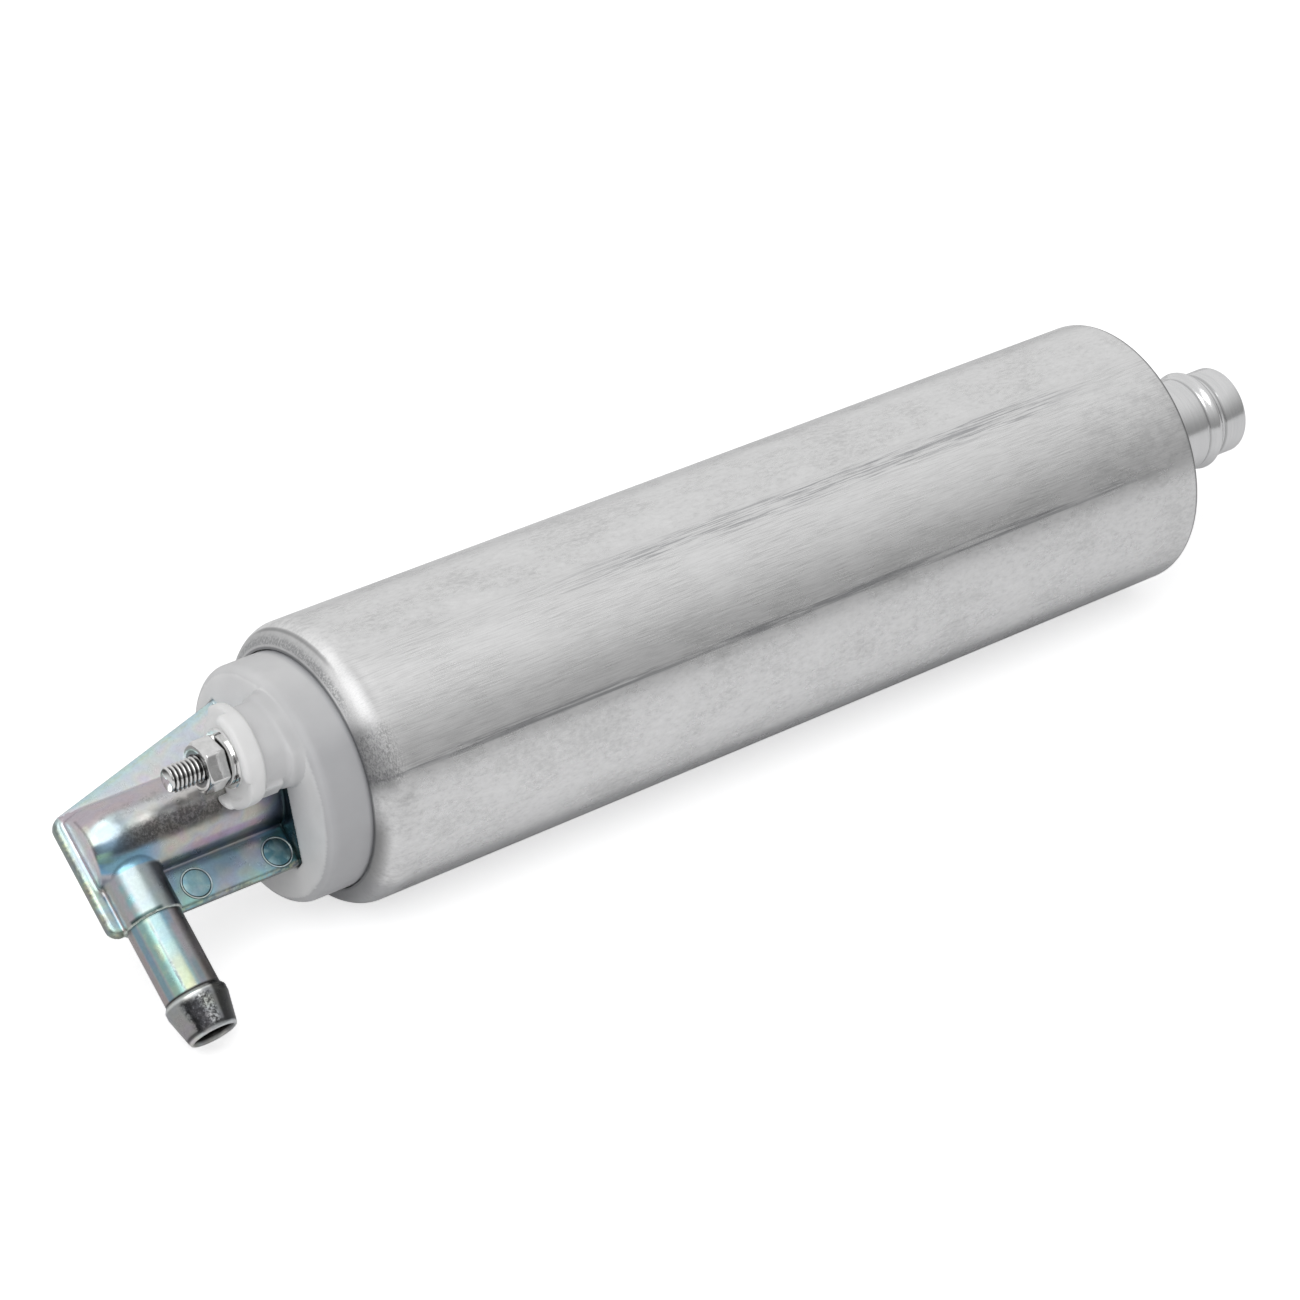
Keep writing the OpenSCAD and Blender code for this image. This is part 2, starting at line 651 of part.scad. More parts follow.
module brush_holder() {
  sw = tube_w / 2 + sleeve_wall;
  sh = tube_h / 2 + sleeve_wall;
  color([0.16, 0.16, 0.17]) difference() {
    union() {
      rod(holder_x, holder_x + holder_t, can_ri - 0.3);
      rod(holder_x, holder_hub_end, bearing_r + 1.8);
      for (s = [-1, 1]) translate([holder_x, s * brush_side - sw, -sh])
        cube([tube_len - 0.6, 2 * sw, 2 * sh]);
    }
    rod(bearing_front_x, holder_hub_end + 1, bearing_r);
    rod(holder_x - 1, holder_hub_end, shaft_r + 0.5);
    for (s = [-1, 1]) {
      translate([tube_x, s * brush_side - tube_w / 2, -tube_h / 2])
        cube([tube_len, tube_w, tube_h]);
      translate([0, s * brush_side, 0]) rod(holder_x - 1, tube_x + 1, lead_r + 0.45);
      translate([0, 0, s * 14]) rod(holder_x - 1, holder_x + holder_t + 1, 3.2);
      translate([0, s * lead_y, -lead_z]) rod(holder_x - 1, holder_x + holder_t + 1, lead_r + 0.05);
    }
  }
}

module brush_tubes() {
  color([0.8, 0.65, 0.35]) for (s = [-1, 1]) difference() {
    translate([tube_x, s * brush_side - tube_w / 2, -tube_h / 2])
      cube([tube_len, tube_w, tube_h]);
    translate([tube_x - 1, s * brush_side - tube_w / 2 + tube_wall, -tube_h / 2 + tube_wall])
      cube([tube_len + 2, tube_w - 2 * tube_wall, tube_h - 2 * tube_wall]);
  }
}

module brush(s) {
  color([0.2, 0.2, 0.2]) translate([brush_back, s * brush_side - brush_w / 2, -brush_h / 2])
    cube([brush_len, brush_w, brush_h]);
}

module brush_lead(s) {
  color([0.8, 0.45, 0.25]) translate([0, s * brush_side, 0])
    rod(holder_x - 1.8, brush_back, lead_r);
}

module brush_spring(s) {
  color([0.7, 0.7, 0.7]) translate([0, s * brush_side, 0])
    coil(tube_x, brush_back - 0.02, 1.9, 0.3, 7);
}

// the suppression chokes, beside the elbow's hub inside the cap
choke_y = 7.5;
choke_z = -9.5;
choke_x = cap_inner + 2.4;
choke_len = 12;
choke_r = 2.1;
lead_y = brush_side - tube_w / 2 + 1.5;
lead_z = tube_h / 2 + lead_r + 0.02;

module choke_cores() {
  color([0.25, 0.25, 0.27]) both_sides()
    translate([0, -choke_y, choke_z]) rod(choke_x, choke_x + choke_len, choke_r - lead_r);
}

module choke_windings() {
  color([0.75, 0.42, 0.22]) both_sides() translate([0, -choke_y, choke_z])
    coil(choke_x + 0.4, choke_x + choke_len - 0.4, choke_r, lead_r - 0.02, 9);
}

module choke_leads() {
  y0 = -choke_y + choke_r;
  xa = choke_x + 0.4;
  xb = choke_x + choke_len - 0.4;
  color([0.75, 0.42, 0.22]) both_sides() {
    wire([[x_tail - 0.6, -stud_side + tail_r + lead_r + 0.02, stud_up],
          [x_tail - 0.6, -elbow_hub_d / 2 - 2.4, stud_up - 4.3],
          [xa, y0 + 2.2, choke_z], [xa, y0 + lead_r, choke_z]], lead_r);
    wire([[xb, y0 + lead_r, choke_z], [xb, y0 + 2.2, choke_z],
          [xb + 1.6, -lead_y, -lead_z], [tube_x + 1.6, -lead_y, -lead_z]], lead_r);
  }
}

module bearing(x0) {
  color([0.72, 0.52, 0.3]) tube(x0, x0 + bearing_len, bearing_r, shaft_r + shaft_clear);
}

module front_bearing() { bearing(bearing_front_x); }
module rear_bearing() { bearing(x_port0 + 0.6); }

module flux_ring() {
  color([0.5, 0.5, 0.52]) tube(x_mag0 - flux_over, x_mag1 + flux_over, flux_r, flux_r - flux_t);
}

// an outline that spans an angle either side of the Y axis
module sector(ro, ri, span) {
  rotate(-span / 2) projection_arc(ro, ri, span);
}

module projection_arc(ro, ri, span) {
  n = 24;
  polygon(concat([for (i = [0 : n]) ro * [cos(span * i / n), sin(span * i / n)]],
                 [for (i = [n : -1 : 0]) ri * [cos(span * i / n), sin(span * i / n)]]));
}

module magnets() {
  color([0.3, 0.3, 0.32]) for (a = [90, 270]) rotate([a - magnet_span / 2, 0, 0])
    translate([x_mag0, 0, 0]) rotate([90, 0, 90])
      rotate_extrude(angle = magnet_span)
        translate([magnet_ri, 0]) square([magnet_t, x_mag1 - x_mag0]);
}

module magnet_clips() {
  gap = 180 - magnet_span - 2;
  t = 0.6;
  color([0.6, 0.6, 0.62]) for (a = [0, 180]) rotate([a, 0, 0])
    slab(x_mag0 + 4, x_mag1 - 4) {
      sector(magnet_r - 0.02, magnet_r - t, gap);
      for (s = [-1, 1]) rotate(s * gap / 2) translate([magnet_ri + 1, s > 0 ? -t : 0])
        square([magnet_t - 1.2, t]);
    }
}

module shaft() {
  color([0.7, 0.7, 0.72]) difference() {
    rod(shaft_x0, shaft_x1, shaft_r);
    translate([x_rot0 + 1, -key_w / 2, key_floor]) cube([rotor_w - 2, key_w, shaft_r]);
    tube(impeller_x + impeller_len + clip_e_t / 2, impeller_x + impeller_len + clip_e_t * 1.6,
         shaft_r + 1, shaft_r - 0.4);
  }
}

module slots(r, reach) {
  for (i = [0 : slot_count - 1]) rotate(i * 360 / slot_count) {
    translate([slot_at, 0]) circle(r, $fn = 32);
    if (reach > 0) translate([slot_at, -0.5]) square([reach, 1]);
  }
}

module lamination_stack() {
  color([0.45, 0.45, 0.47]) slab(x_stack0, x_stack1) difference() {
    circle(armature_r);
    circle(shaft_r);
    slots(slot_d / 2, armature_r);
  }
}

module winding_head(x0, x1) {
  ro = slot_at + slot_d / 2;
  ri = shaft_r + 2;
  c = 1;
  turn() polygon([[ri + c, x0], [ro - c, x0], [ro, x0 + c], [ro, x1 - c], [ro - c, x1],
                  [ri + c, x1], [ri, x1 - c], [ri, x0 + c]]);
}

module windings() {
  color([0.72, 0.4, 0.2]) {
    winding_head(x_stack0 - head_len, x_stack0 - 0.05 - insulator_t);
    winding_head(x_stack1 + 0.05 + insulator_t, x_stack1 + head_len);
    slab(x_stack0 - head_len + 1, x_stack1 + head_len - 1) slots(slot_d / 2 - 0.25, 0);
  }
}

module end_insulators() {
  color([0.8, 0.3, 0.2]) {
    for (x = [x_stack0 - insulator_t, x_stack1]) slab(x, x + insulator_t) difference() {
      circle(armature_r - 0.3);
      circle(shaft_r);
      slots(slot_d / 2 - 0.2, armature_r);
    }
    tube(x_stack1 + insulator_t, x_washer1 - 0.05, shaft_r + 1.6, shaft_r);
    tube(x_comm_end, x_stack0 - insulator_t, shaft_r + 1.6, shaft_r);
  }
}

module commutator_segments() {
  color([0.75, 0.45, 0.25]) slab(x_comm, x_comm + segment_t) difference() {
    circle(comm_r);
    circle(comm_ri);
    for (i = [0 : slot_count - 1]) rotate((i + 0.5) * 360 / slot_count)
      translate([0, -0.3]) square([comm_r + 1, 0.6]);
  }
}

module commutator_body() {
  color([0.15, 0.13, 0.12]) {
    tube(x_comm + segment_t, x_comm_end, comm_r - 0.4, shaft_r);
    tube(holder_hub_end + 0.1 + thrust_t + 0.05, x_comm + segment_t, comm_ri - 1.6, shaft_r);
  }
}

module thrust_washers() {
  color([0.75, 0.6, 0.35]) for (x = [holder_hub_end + 0.1, x_washer1])
    tube(x, x + thrust_t, shaft_r + 1.9, shaft_r);
}

module drive_key() {
  color([0.6, 0.6, 0.62])
    translate([x_rot0 + 1, -key_w / 2, key_floor]) cube([rotor_w - 2, key_w, key_h - key_floor]);
}

// rotor outline: the lobes' path about the inner rotor, moved in by their radius
function path_angle(s) = s + 0.85 * 180 / PI / (lobe_n - 1) * sin((lobe_n - 1) * s);
function inner_point(t) =
  let (d = [-lobe_pitch_r * sin(t) - lobe_n * offset_e * sin(lobe_n * t),
            lobe_pitch_r * cos(t) + lobe_n * offset_e * cos(lobe_n * t)],
       n = [-d[1], d[0]] / norm(d))
  [lobe_pitch_r * cos(t) + offset_e * cos(lobe_n * t),
   lobe_pitch_r * sin(t) + offset_e * sin(lobe_n * t)] + (lobe_r + mesh_gap) * n;

module inner_rotor() {
  steps = 216;
  color([0.55, 0.55, 0.56]) difference() {
    rotate([ecc_angle, 0, 0]) slab(x_rot0 + rotor_side, x_in0 - rotor_side)
      polygon([for (i = [0 : steps - 1]) inner_point(path_angle(i * 360 / steps))]);
    rod(x_rot0, x_in0, shaft_r);
    translate([x_rot0, -key_w / 2, 0]) cube([rotor_w, key_w, key_h]);
  }
}

module outer_rotor() {
  color([0.5, 0.5, 0.52]) rotate([ecc_angle, 0, 0])
    slab(x_rot0 + rotor_side, x_in0 - rotor_side) translate([offset_e, 0]) difference() {
      circle(outer_rotor_d / 2);
      difference() {
        circle(lobe_pitch_r + 2 * offset_e - lobe_r + mesh_gap);
        for (i = [0 : lobe_n - 1]) rotate(i * 360 / lobe_n)
          translate([lobe_pitch_r, 0]) circle(lobe_r);
      }
    }
}

screw_angles = [90, 210, 330];
dowel_angles = [30, 150];
relief_angle = 270;

// holes along X at a radius and a list of angles
module holes(angles, at, r, x0, x1) {
  for (a = angles) rotate([a, 0, 0]) translate([0, at, 0]) rod(x0, x1, r);
}

// a curved port about the axis
module port(a0, x0, x1) {
  inner = lobe_pitch_r - lobe_r - 0.3;
  outer = lobe_pitch_r + 0.2;
  rotate([a0 - 50, 0, 0]) translate([x0, 0, 0]) rotate([90, 0, 90])
    rotate_extrude(angle = 100) translate([inner, 0]) square([outer - inner, x1 - x0]);
}

module pump_ring() {
  color([0.62, 0.62, 0.64]) difference() {
    rod(x_rot0, x_in0, stack_r);
    rotate([ecc_angle, 0, 0]) translate([0, offset_e, 0])
      rod(x_rot0 - 1, x_in0 + 1, outer_rotor_d / 2 + running);
    holes(screw_angles, clamp_screw_r, clamp_screw_d / 2 + 0.1, x_rot0 - 1, x_in0 + 1);
    holes(dowel_angles, clamp_screw_r, dowel_r, x_rot0 - 1, x_in0 + 1);
    holes([relief_angle], relief_at, relief_r, x_rot0 - 1, x_in0 + 1);
  }
}

dowel_r = 1.25;
screw_head_t = 2.4;
screw_head_r = clamp_screw_d / 2 + 1.1;
screw_end = x_pre0 + 7;

module port_plate() {
  color([0.66, 0.66, 0.68]) difference() {
    union() {
      rod(x_port0, x_rot0, stack_r);
      rod(x_hub0, x_port0 + 1, port_hub_r);
    }
    rod(x_hub0 - 1, x_rot0 + 1, shaft_r + 0.4);
    rod(x_port0 + 0.6, x_port0 + 0.6 + bearing_len, bearing_r);
    port(0, x_port0 - 1, x_rot0 + 1);
    holes(screw_angles, clamp_screw_r, clamp_screw_d / 2 + 0.1, x_port0 - 1, x_rot0 + 1);
    holes(screw_angles, clamp_screw_r, screw_head_r + 0.1, x_port0 - 1, x_port0 + screw_head_t);
    holes(dowel_angles, clamp_screw_r, dowel_r, x_rot0 - 3, x_rot0 + 1);
    holes([relief_angle], relief_at, relief_r, relief_seat_x, x_rot0 + 1);
    holes([relief_angle], relief_at, relief_seat_ri, x_port0 - 1, x_rot0);
  }
}

module inlet_plate() {
  color([0.66, 0.66, 0.68]) difference() {
    rod(x_in0, x_pre0, stack_r);
    rod(x_in0 - 1, x_pre0 + 1, shaft_r + 0.4);
    port(180, x_in0 - 1, x_pre0 + 1);
    holes(screw_angles, clamp_screw_r, clamp_screw_d / 2 + 0.1, x_in0 - 1, x_pre0 + 1);
    holes(dowel_angles, clamp_screw_r, dowel_r, x_in0 - 1, x_in0 + 3);
    holes([relief_angle], relief_at, relief_r, x_in0 - 1, plug_x + plug_t);
    holes([relief_angle], relief_at, relief_r - 1, x_in0, x_pre0 + 1);
  }
}

module pump_screws() {
  color([0.75, 0.75, 0.75]) for (a = screw_angles) rotate([a, 0, 0])
    translate([0, clamp_screw_r, 0]) difference() {
      union() {
        rod(x_port0, x_port0 + screw_head_t, screw_head_r);
        rod(x_port0 + screw_head_t / 2, screw_end, clamp_screw_d / 2);
      }
      slab(x_port0 - 1, x_port0 + 1.4)
        polygon([for (i = [0 : 5]) 1.4 * [cos(60 * i), sin(60 * i)]]);
    }
}

module dowel_pins() {
  color([0.7, 0.7, 0.72]) holes(dowel_angles, clamp_screw_r, dowel_r, x_rot0 - 2.9, x_in0 + 2.9);
}

module relief_seat() {
  color([0.78, 0.62, 0.32]) rotate([relief_angle, 0, 0]) translate([0, relief_at, 0])
    tube(relief_seat_x, relief_seat_x + relief_seat_t, relief_r, relief_seat_ri);
}

module relief_ball() {
  color([0.75, 0.75, 0.77]) rotate([relief_angle, 0, 0]) translate([ball_x, relief_at, 0])
    sphere(ball_r);
}

module relief_spring() {
  w = 0.25;
  r = 1.6;
  x0 = ball_x + sqrt(ball_r * ball_r - (r - w) * (r - w)) + 0.05;
  color([0.7, 0.7, 0.7]) rotate([relief_angle, 0, 0]) translate([0, relief_at, 0])
    coil(x0, plug_x, r, w, 7);
}

module relief_plug() {
  color([0.78, 0.62, 0.32]) rotate([relief_angle, 0, 0]) translate([0, relief_at, 0])
    tube(plug_x, plug_x + plug_t, relief_r, 1);
}

module prestage_ring() {
  color([0.66, 0.66, 0.68]) difference() {
    tube(x_pre0, x_cover0, stack_r, pre_d / 2);
    holes(screw_angles, clamp_screw_r, clamp_screw_d / 2, x_pre0 - 1, screw_end + 0.5);
    holes([relief_angle], relief_at, relief_r - 1, x_pre0 - 1, x_pre0 + 2);
  }
}

module impeller() {
  color([0.2, 0.2, 0.22]) difference() {
    union() {
      rod(impeller_x, impeller_x + impeller_disc_t, impeller_r);
      rod(impeller_x, impeller_x + impeller_len, impeller_hub_r);
      for (i = [0 : vane_count - 1]) rotate([i * 360 / vane_count, 0, 0])
        translate([impeller_x, impeller_hub_r - 0.8, -0.6])
          cube([impeller_len - 0.6, impeller_r - impeller_hub_r + 0.6, 1.2]);
    }
    rod(impeller_x - 1, impeller_x + impeller_len + 1, shaft_r);
    for (i = [0 : 5]) rotate([i * 60 + 15, 0, 0]) translate([0, impeller_hub_r + 3, 0])
      rod(impeller_x - 1, impeller_x + impeller_disc_t + 1, 1.4);
  }
}

module impeller_clip() {
  x = impeller_x + impeller_len + clip_e_t / 2 + 0.05;
  color([0.6, 0.6, 0.62]) difference() {
    tube(x, x + clip_e_t, shaft_r + 1.8, shaft_r - 0.38);
    slab(x - 1, x + clip_e_t + 1) translate([0, -shaft_r * 0.7]) square([9, shaft_r * 1.4]);
  }
}

module inlet_cover() {
  r = cap_skirt_r;
  color([0.72, 0.73, 0.74]) turn() polygon([
    [r, x_cover0], [r, cover_ring_x - ring_w / 2], [r - ring_deep, cover_ring_x - ring_w / 2],
    [r - ring_deep, cover_ring_x + ring_w / 2], [r, cover_ring_x + ring_w / 2],
    [r, x_cover1], [spigot_root_d / 2, x_cover1], [spigot_root_d / 2, x_end_wall],
    [r - 4, x_end_wall], [r - 4, x_cover0]]);
}

module inlet_spigot() {
  bore = spigot_bore / 2;
  root = spigot_root_d / 2;
  end_r = spigot_end_d / 2;
  xb = x_back + bead_at;
  lip = 0.6;
  color([0.76, 0.77, 0.78]) turn() polygon(concat(
    [[bore, spigot_x0], [spigot_flange_r, spigot_x0], [spigot_flange_r, x_end_wall],
     [root, x_end_wall], [root, xb - bead_half]],
    [for (i = [1 : 5]) let (f = i / 6)
      [root + (bead_d / 2 - root) * sin(90 * f), xb - bead_half + bead_half * f]],
    [for (i = [0 : 5]) let (f = i / 6)
      [end_r + (bead_d / 2 - end_r) * cos(90 * f), xb + bead_half * f]],
    [[end_r, xb + bead_half]],
    arc([end_r - lip, spigot_tip - lip], lip, 0, 90, 4),
    [[bore, spigot_tip]]));
}

module inlet_o_ring() {
  r = (ring_deep + seat_gap) / 2 - ring_gap;
  color([0.1, 0.1, 0.11]) o_ring(cover_ring_x, can_ri - r - ring_gap, r);
}

module inlet_strainer() {
  pitch = 1.7;
  color([0.6, 0.6, 0.58]) slab(spigot_x0 - strainer_t, spigot_x0) difference() {
    circle(strainer_r);
    for (i = [-4 : 4], j = [-4 : 4])
      let (y = (i + (j % 2) / 2) * pitch, z = j * pitch * 0.866)
        if (norm([y, z]) < spigot_bore / 2 - 0.8) translate([y, z]) circle(0.6, $fn = 16);
  }
}

rotate([-lie_angle, 0, 0]) {
  casing();
  outlet_cap();
  outlet_elbow();
  elbow_o_ring();
  elbow_clip();
  cap_o_ring();
  terminal_studs();
  terminal_seals();
  terminal_nuts();
  spring_washers();
  flat_washers();
  check_valve_seat();
  check_valve_guide();
  check_valve_poppet();
  poppet_seal();
  check_valve_spring();
  brush_holder();
  brush_tubes();
  brush(-1);  // brush_a
  brush(1);  // brush_b
  brush_lead(-1);  // brush_lead_a
  brush_lead(1);  // brush_lead_b
  brush_spring(-1);  // brush_spring_a
  brush_spring(1);  // brush_spring_b
  choke_cores();
  choke_windings();
  choke_leads();
  front_bearing();
  rear_bearing();
  flux_ring();
  magnets();
  magnet_clips();
  shaft();
  lamination_stack();
  windings();
  end_insulators();
  commutator_segments();
  commutator_body();
  thrust_washers();
  drive_key();
  inner_rotor();
  outer_rotor();
  pump_ring();
  port_plate();
  inlet_plate();
  pump_screws();
  dowel_pins();
  relief_seat();
  relief_ball();
  relief_spring();
  relief_plug();
  prestage_ring();
  impeller();
  impeller_clip();
  inlet_cover();
  inlet_spigot();
  inlet_o_ring();
  inlet_strainer();
}
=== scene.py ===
"""In-tank electric fuel pump: a brushed aluminium can with a white plastic outlet cap, a passivated
die-cast outlet elbow, two plated terminals and a beaded inlet spigot. Sizes are in millimetres in the
pump's own frame and are turned into the scene's metres where a mesh is made."""

import math

import bmesh
import bpy
import numpy as np
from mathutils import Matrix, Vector


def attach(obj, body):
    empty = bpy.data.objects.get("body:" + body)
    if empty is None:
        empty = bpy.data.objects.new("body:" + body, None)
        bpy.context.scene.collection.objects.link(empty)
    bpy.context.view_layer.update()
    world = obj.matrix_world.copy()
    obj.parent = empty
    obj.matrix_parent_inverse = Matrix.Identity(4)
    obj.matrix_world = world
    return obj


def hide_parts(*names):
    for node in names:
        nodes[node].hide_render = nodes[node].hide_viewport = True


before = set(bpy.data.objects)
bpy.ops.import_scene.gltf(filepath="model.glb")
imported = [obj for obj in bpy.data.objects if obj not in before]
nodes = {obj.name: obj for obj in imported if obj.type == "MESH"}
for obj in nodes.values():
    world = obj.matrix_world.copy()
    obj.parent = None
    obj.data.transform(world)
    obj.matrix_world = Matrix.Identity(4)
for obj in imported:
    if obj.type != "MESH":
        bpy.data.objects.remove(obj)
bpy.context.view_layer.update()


# Table, light tent and camera
# The pump lies on a seamless white table inside a light tent. The tent is pale behind and overhead and
# darkens towards the camera, which gives the metal its grey bands. A large lamp hangs over the
# outlet's side, and a smaller one stands farther out.

def put(tree, kind, inputs=(), **settings):
    """Add a node; an input is given as a value, or as the socket that feeds it."""
    made = tree.nodes.new("ShaderNode" + kind)
    for key, value in settings.items():
        setattr(made, key, value)
    for key, value in dict(inputs).items():
        if isinstance(value, bpy.types.NodeSocket):
            tree.links.new(value, made.inputs[key])
        else:
            made.inputs[key].default_value = value
    return made


def ramp(tree, factor, *stops):
    """Colour ramp through stops of (position, grey or (r, g, b))."""
    made = put(tree, "ValToRGB", {"Fac": factor})
    scale = made.color_ramp
    while len(scale.elements) < len(stops):
        scale.elements.new(0.5)
    for element, (place, shade) in zip(scale.elements, stops):
        element.position = place
        element.color = (*((shade,) * 3 if np.isscalar(shade) else shade), 1.0)
    return made.outputs["Color"]


white, back_wall, soft_fill = [(grey, grey, grey, 1) for grey in (1, 0.69, 0.408)]
front_greys = ((0.0, 0.235), (0.10, 0.26), (0.32, 0.35), (0.58, 0.54), (0.76, 0.69))
world = bpy.data.worlds.new("light_tent")
bpy.context.scene.world = world
world.use_nodes = True
tree = world.node_tree
tree.nodes.clear()
view = put(tree, "SeparateXYZ", {0: put(tree, "TexCoord").outputs["Generated"]})
front_wall = ramp(tree, view.outputs["Z"], *front_greys)
behind = put(tree, "MapRange", {"Value": view.outputs["Y"], "From Min": -0.25, "From Max": 0.12})
tent = put(tree, "Mix", {0: behind.outputs[0], 6: front_wall, 7: back_wall}, data_type="RGBA")
ray = put(tree, "LightPath").outputs
shiny = put(tree, "Math", {0: ray["Is Glossy Ray"], 1: ray["Is Transmission Ray"]}, operation="MAXIMUM")
colour = put(tree, "Mix", {0: shiny.outputs[0], 6: soft_fill, 7: tent.outputs[2]}, data_type="RGBA")
colour = put(tree, "Mix", {0: ray["Is Camera Ray"], 6: colour.outputs[2], 7: white}, data_type="RGBA")
backdrop = put(tree, "Background", {"Color": colour.outputs[2], "Strength": 1.0})
tree.links.new(backdrop.outputs[0], put(tree, "OutputWorld").inputs[0])

table_half, table_top, table_glow = 3, -0.02152, 0.62  # in metres; the top is a hair below the can
corners = [(-1, -1), (1, -1), (1, 1), (-1, 1)]
mesh = bpy.data.meshes.new("table")
mesh.from_pydata([(table_half * x, table_half * y, table_top) for x, y in corners], [], [(0, 1, 2, 3)])
table = bpy.data.objects.new("table", mesh)
bpy.context.scene.collection.objects.link(table)
table_paper = bpy.data.materials.new("table_paper")
table_paper.use_nodes = True
tree = table_paper.node_tree
tree.nodes.clear()
paper = put(tree, "BsdfDiffuse", {"Color": (0.86, 0.86, 0.865, 1)})
camera_ray = put(tree, "LightPath").outputs["Is Camera Ray"]
strength = put(tree, "Math", {0: camera_ray, 1: table_glow}, operation="MULTIPLY").outputs[0]
glow = put(tree, "Emission", {"Color": white, "Strength": strength})
both = put(tree, "AddShader", {0: paper.outputs[0], 1: glow.outputs[0]})
tree.links.new(both.outputs[0], put(tree, "OutputMaterial").inputs[0])
mesh.materials.append(table_paper)

for name, place, size, power in (("overhead_lamp", (-0.50, -0.32, 0.95), 1.1, 5.6),
                                 ("side_lamp", (-0.9, -0.7, 0.7), 0.6, 1.0)):
    lamp = bpy.data.lights.new(name, "AREA")
    lamp.shape = "SQUARE"
    lamp.size = size
    lamp.energy = power
    holder = bpy.data.objects.new(name, lamp)
    holder.location = place
    holder.rotation_euler = Vector(place).to_track_quat("Z", "Y").to_euler()
    bpy.context.scene.collection.objects.link(holder)

film_width, photo_pixels, focal_pixels = 36, 1300, 4433.83
lens = bpy.data.cameras.new("photo_camera")
lens.sensor_width = film_width
lens.lens = focal_pixels / photo_pixels * film_width
lens.clip_start = 0.01
camera = bpy.data.objects.new("photo_camera", lens)
camera.location = (-0.36583, -0.45481, 0.34179)
camera.rotation_euler = Vector((0.52363, 0.67882, -0.51479)).to_track_quat("-Z", "Y").to_euler()
bpy.context.scene.collection.objects.link(camera)
bpy.context.scene.camera = camera
bpy.context.scene.view_settings.view_transform = "Standard"


# Can
# Drawn aluminium tube, 43 mm across, brushed along its length. Its front edge is rolled over the outlet
# cap, and its back lip is folded over the inlet cover. The can and the tip of the outlet's barb lie on
# the table, which sets how far the pump is turned.
can_r, can_wall, roll_r, x_front, x_back = 21.5, 1.2, 3.9, -78.1, 78.1
lip_r, back_lip_r, lip_t, edge_r, fold_r = 18.2, 19.2, 1, 0.45, 0.15
barb_tip_r, barb_tip = 3.55, 30.8
lie = math.atan2(barb_tip_r, barb_tip) + math.acos(can_r / math.hypot(barb_tip, barb_tip_r))


def to_scene(points):
    """Millimetres in the pump's frame to metres in the scene: a turn by -lie about X, then a thousandth."""
    x, y, z = np.moveaxis(np.asarray(points, float), -1, 0)
    c, s = math.cos(lie), math.sin(lie)
    return np.stack([x, y * c + z * s, z * c - y * s], -1) / 1000


def piece(name, points, faces, crease=35):
    """Mesh object from points in the pump's frame, with outward faces, smooth except over sharp edges."""
    mesh = bpy.data.meshes.new(name)
    mesh.from_pydata(to_scene(points).tolist(), [], faces)
    work = bmesh.new()
    work.from_mesh(mesh)
    bmesh.ops.recalc_face_normals(work, faces=work.faces)
    work.to_mesh(mesh)
    work.free()
    mesh.shade_smooth()
    mesh.set_sharp_from_angle(angle=math.radians(crease))
    made = bpy.data.objects.new(name, mesh)
    bpy.context.scene.collection.objects.link(made)
    return made


def grid_piece(name, rows, ring=True, crease=35):
    """Surface through a grid of points whose columns wrap round. A ring's last row joins its first;
    otherwise each end is shut by a fan to the middle of its row."""
    count, width = rows.shape[:2]
    i = np.arange(count if ring else count - 1)[:, None] * width
    j = np.arange(width)
    above, beside = (i + width) % (count * width), (j + 1) % width
    faces = np.stack([i + j, i + beside, above + beside, above + j], -1).reshape(-1, 4).tolist()
    points = rows.reshape(-1, 3)
    if not ring:
        points = np.vstack([points, rows[0].mean(0), rows[-1].mean(0)])
        for start, middle in ((0, count * width), ((count - 1) * width, count * width + 1)):
            faces += np.stack([start + j, start + beside, np.full(width, middle)], -1).tolist()
    return piece(name, points, faces, crease)


def turned(name, profile, sides=256):
    """Solid turned about the pump's axis: profile point (x, r) and angle a give (x, r cos a, r sin a)."""
    x, r = np.asarray(profile, float).T[:, :, None]
    a = np.linspace(0, 2 * np.pi, sides, endpoint=False)
    return grid_piece(name, np.stack([x + 0 * a, r * np.cos(a), r * np.sin(a)], -1))


def arc(x, r, radius, start, stop, count=12):
    """Points (x + radius cos a, r + radius sin a) from angle start to stop, in degrees."""
    a = np.radians(np.linspace(start, stop, count))
    return np.stack([x + radius * np.cos(a), r + radius * np.sin(a)], -1).tolist()


roll_x, roll_axis = x_front + roll_r, can_r - roll_r
lip_turn = math.degrees(math.asin((lip_r - roll_axis) / roll_r))
inner_turn = math.degrees(math.asin((lip_r - roll_axis) / (roll_r - can_wall)))
can = turned("can_shell", (
    arc(roll_x, roll_axis, roll_r, 180 - lip_turn, 90, 28)
    + [(x, can_r) for x in np.linspace(roll_x + 2, x_back - 3, 60)]
    + arc(x_back - edge_r, can_r - edge_r, edge_r, 90, 0, 6)
    + arc(x_back - fold_r, back_lip_r + fold_r, fold_r, 0, -90, 4)
    + [(x_back - lip_t, back_lip_r), (x_back - lip_t, can_r - can_wall)]
    + arc(roll_x, roll_axis, roll_r - can_wall, 90, 180 - inner_turn, 20)), 360)
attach(can, "pump_body")
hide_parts("casing")


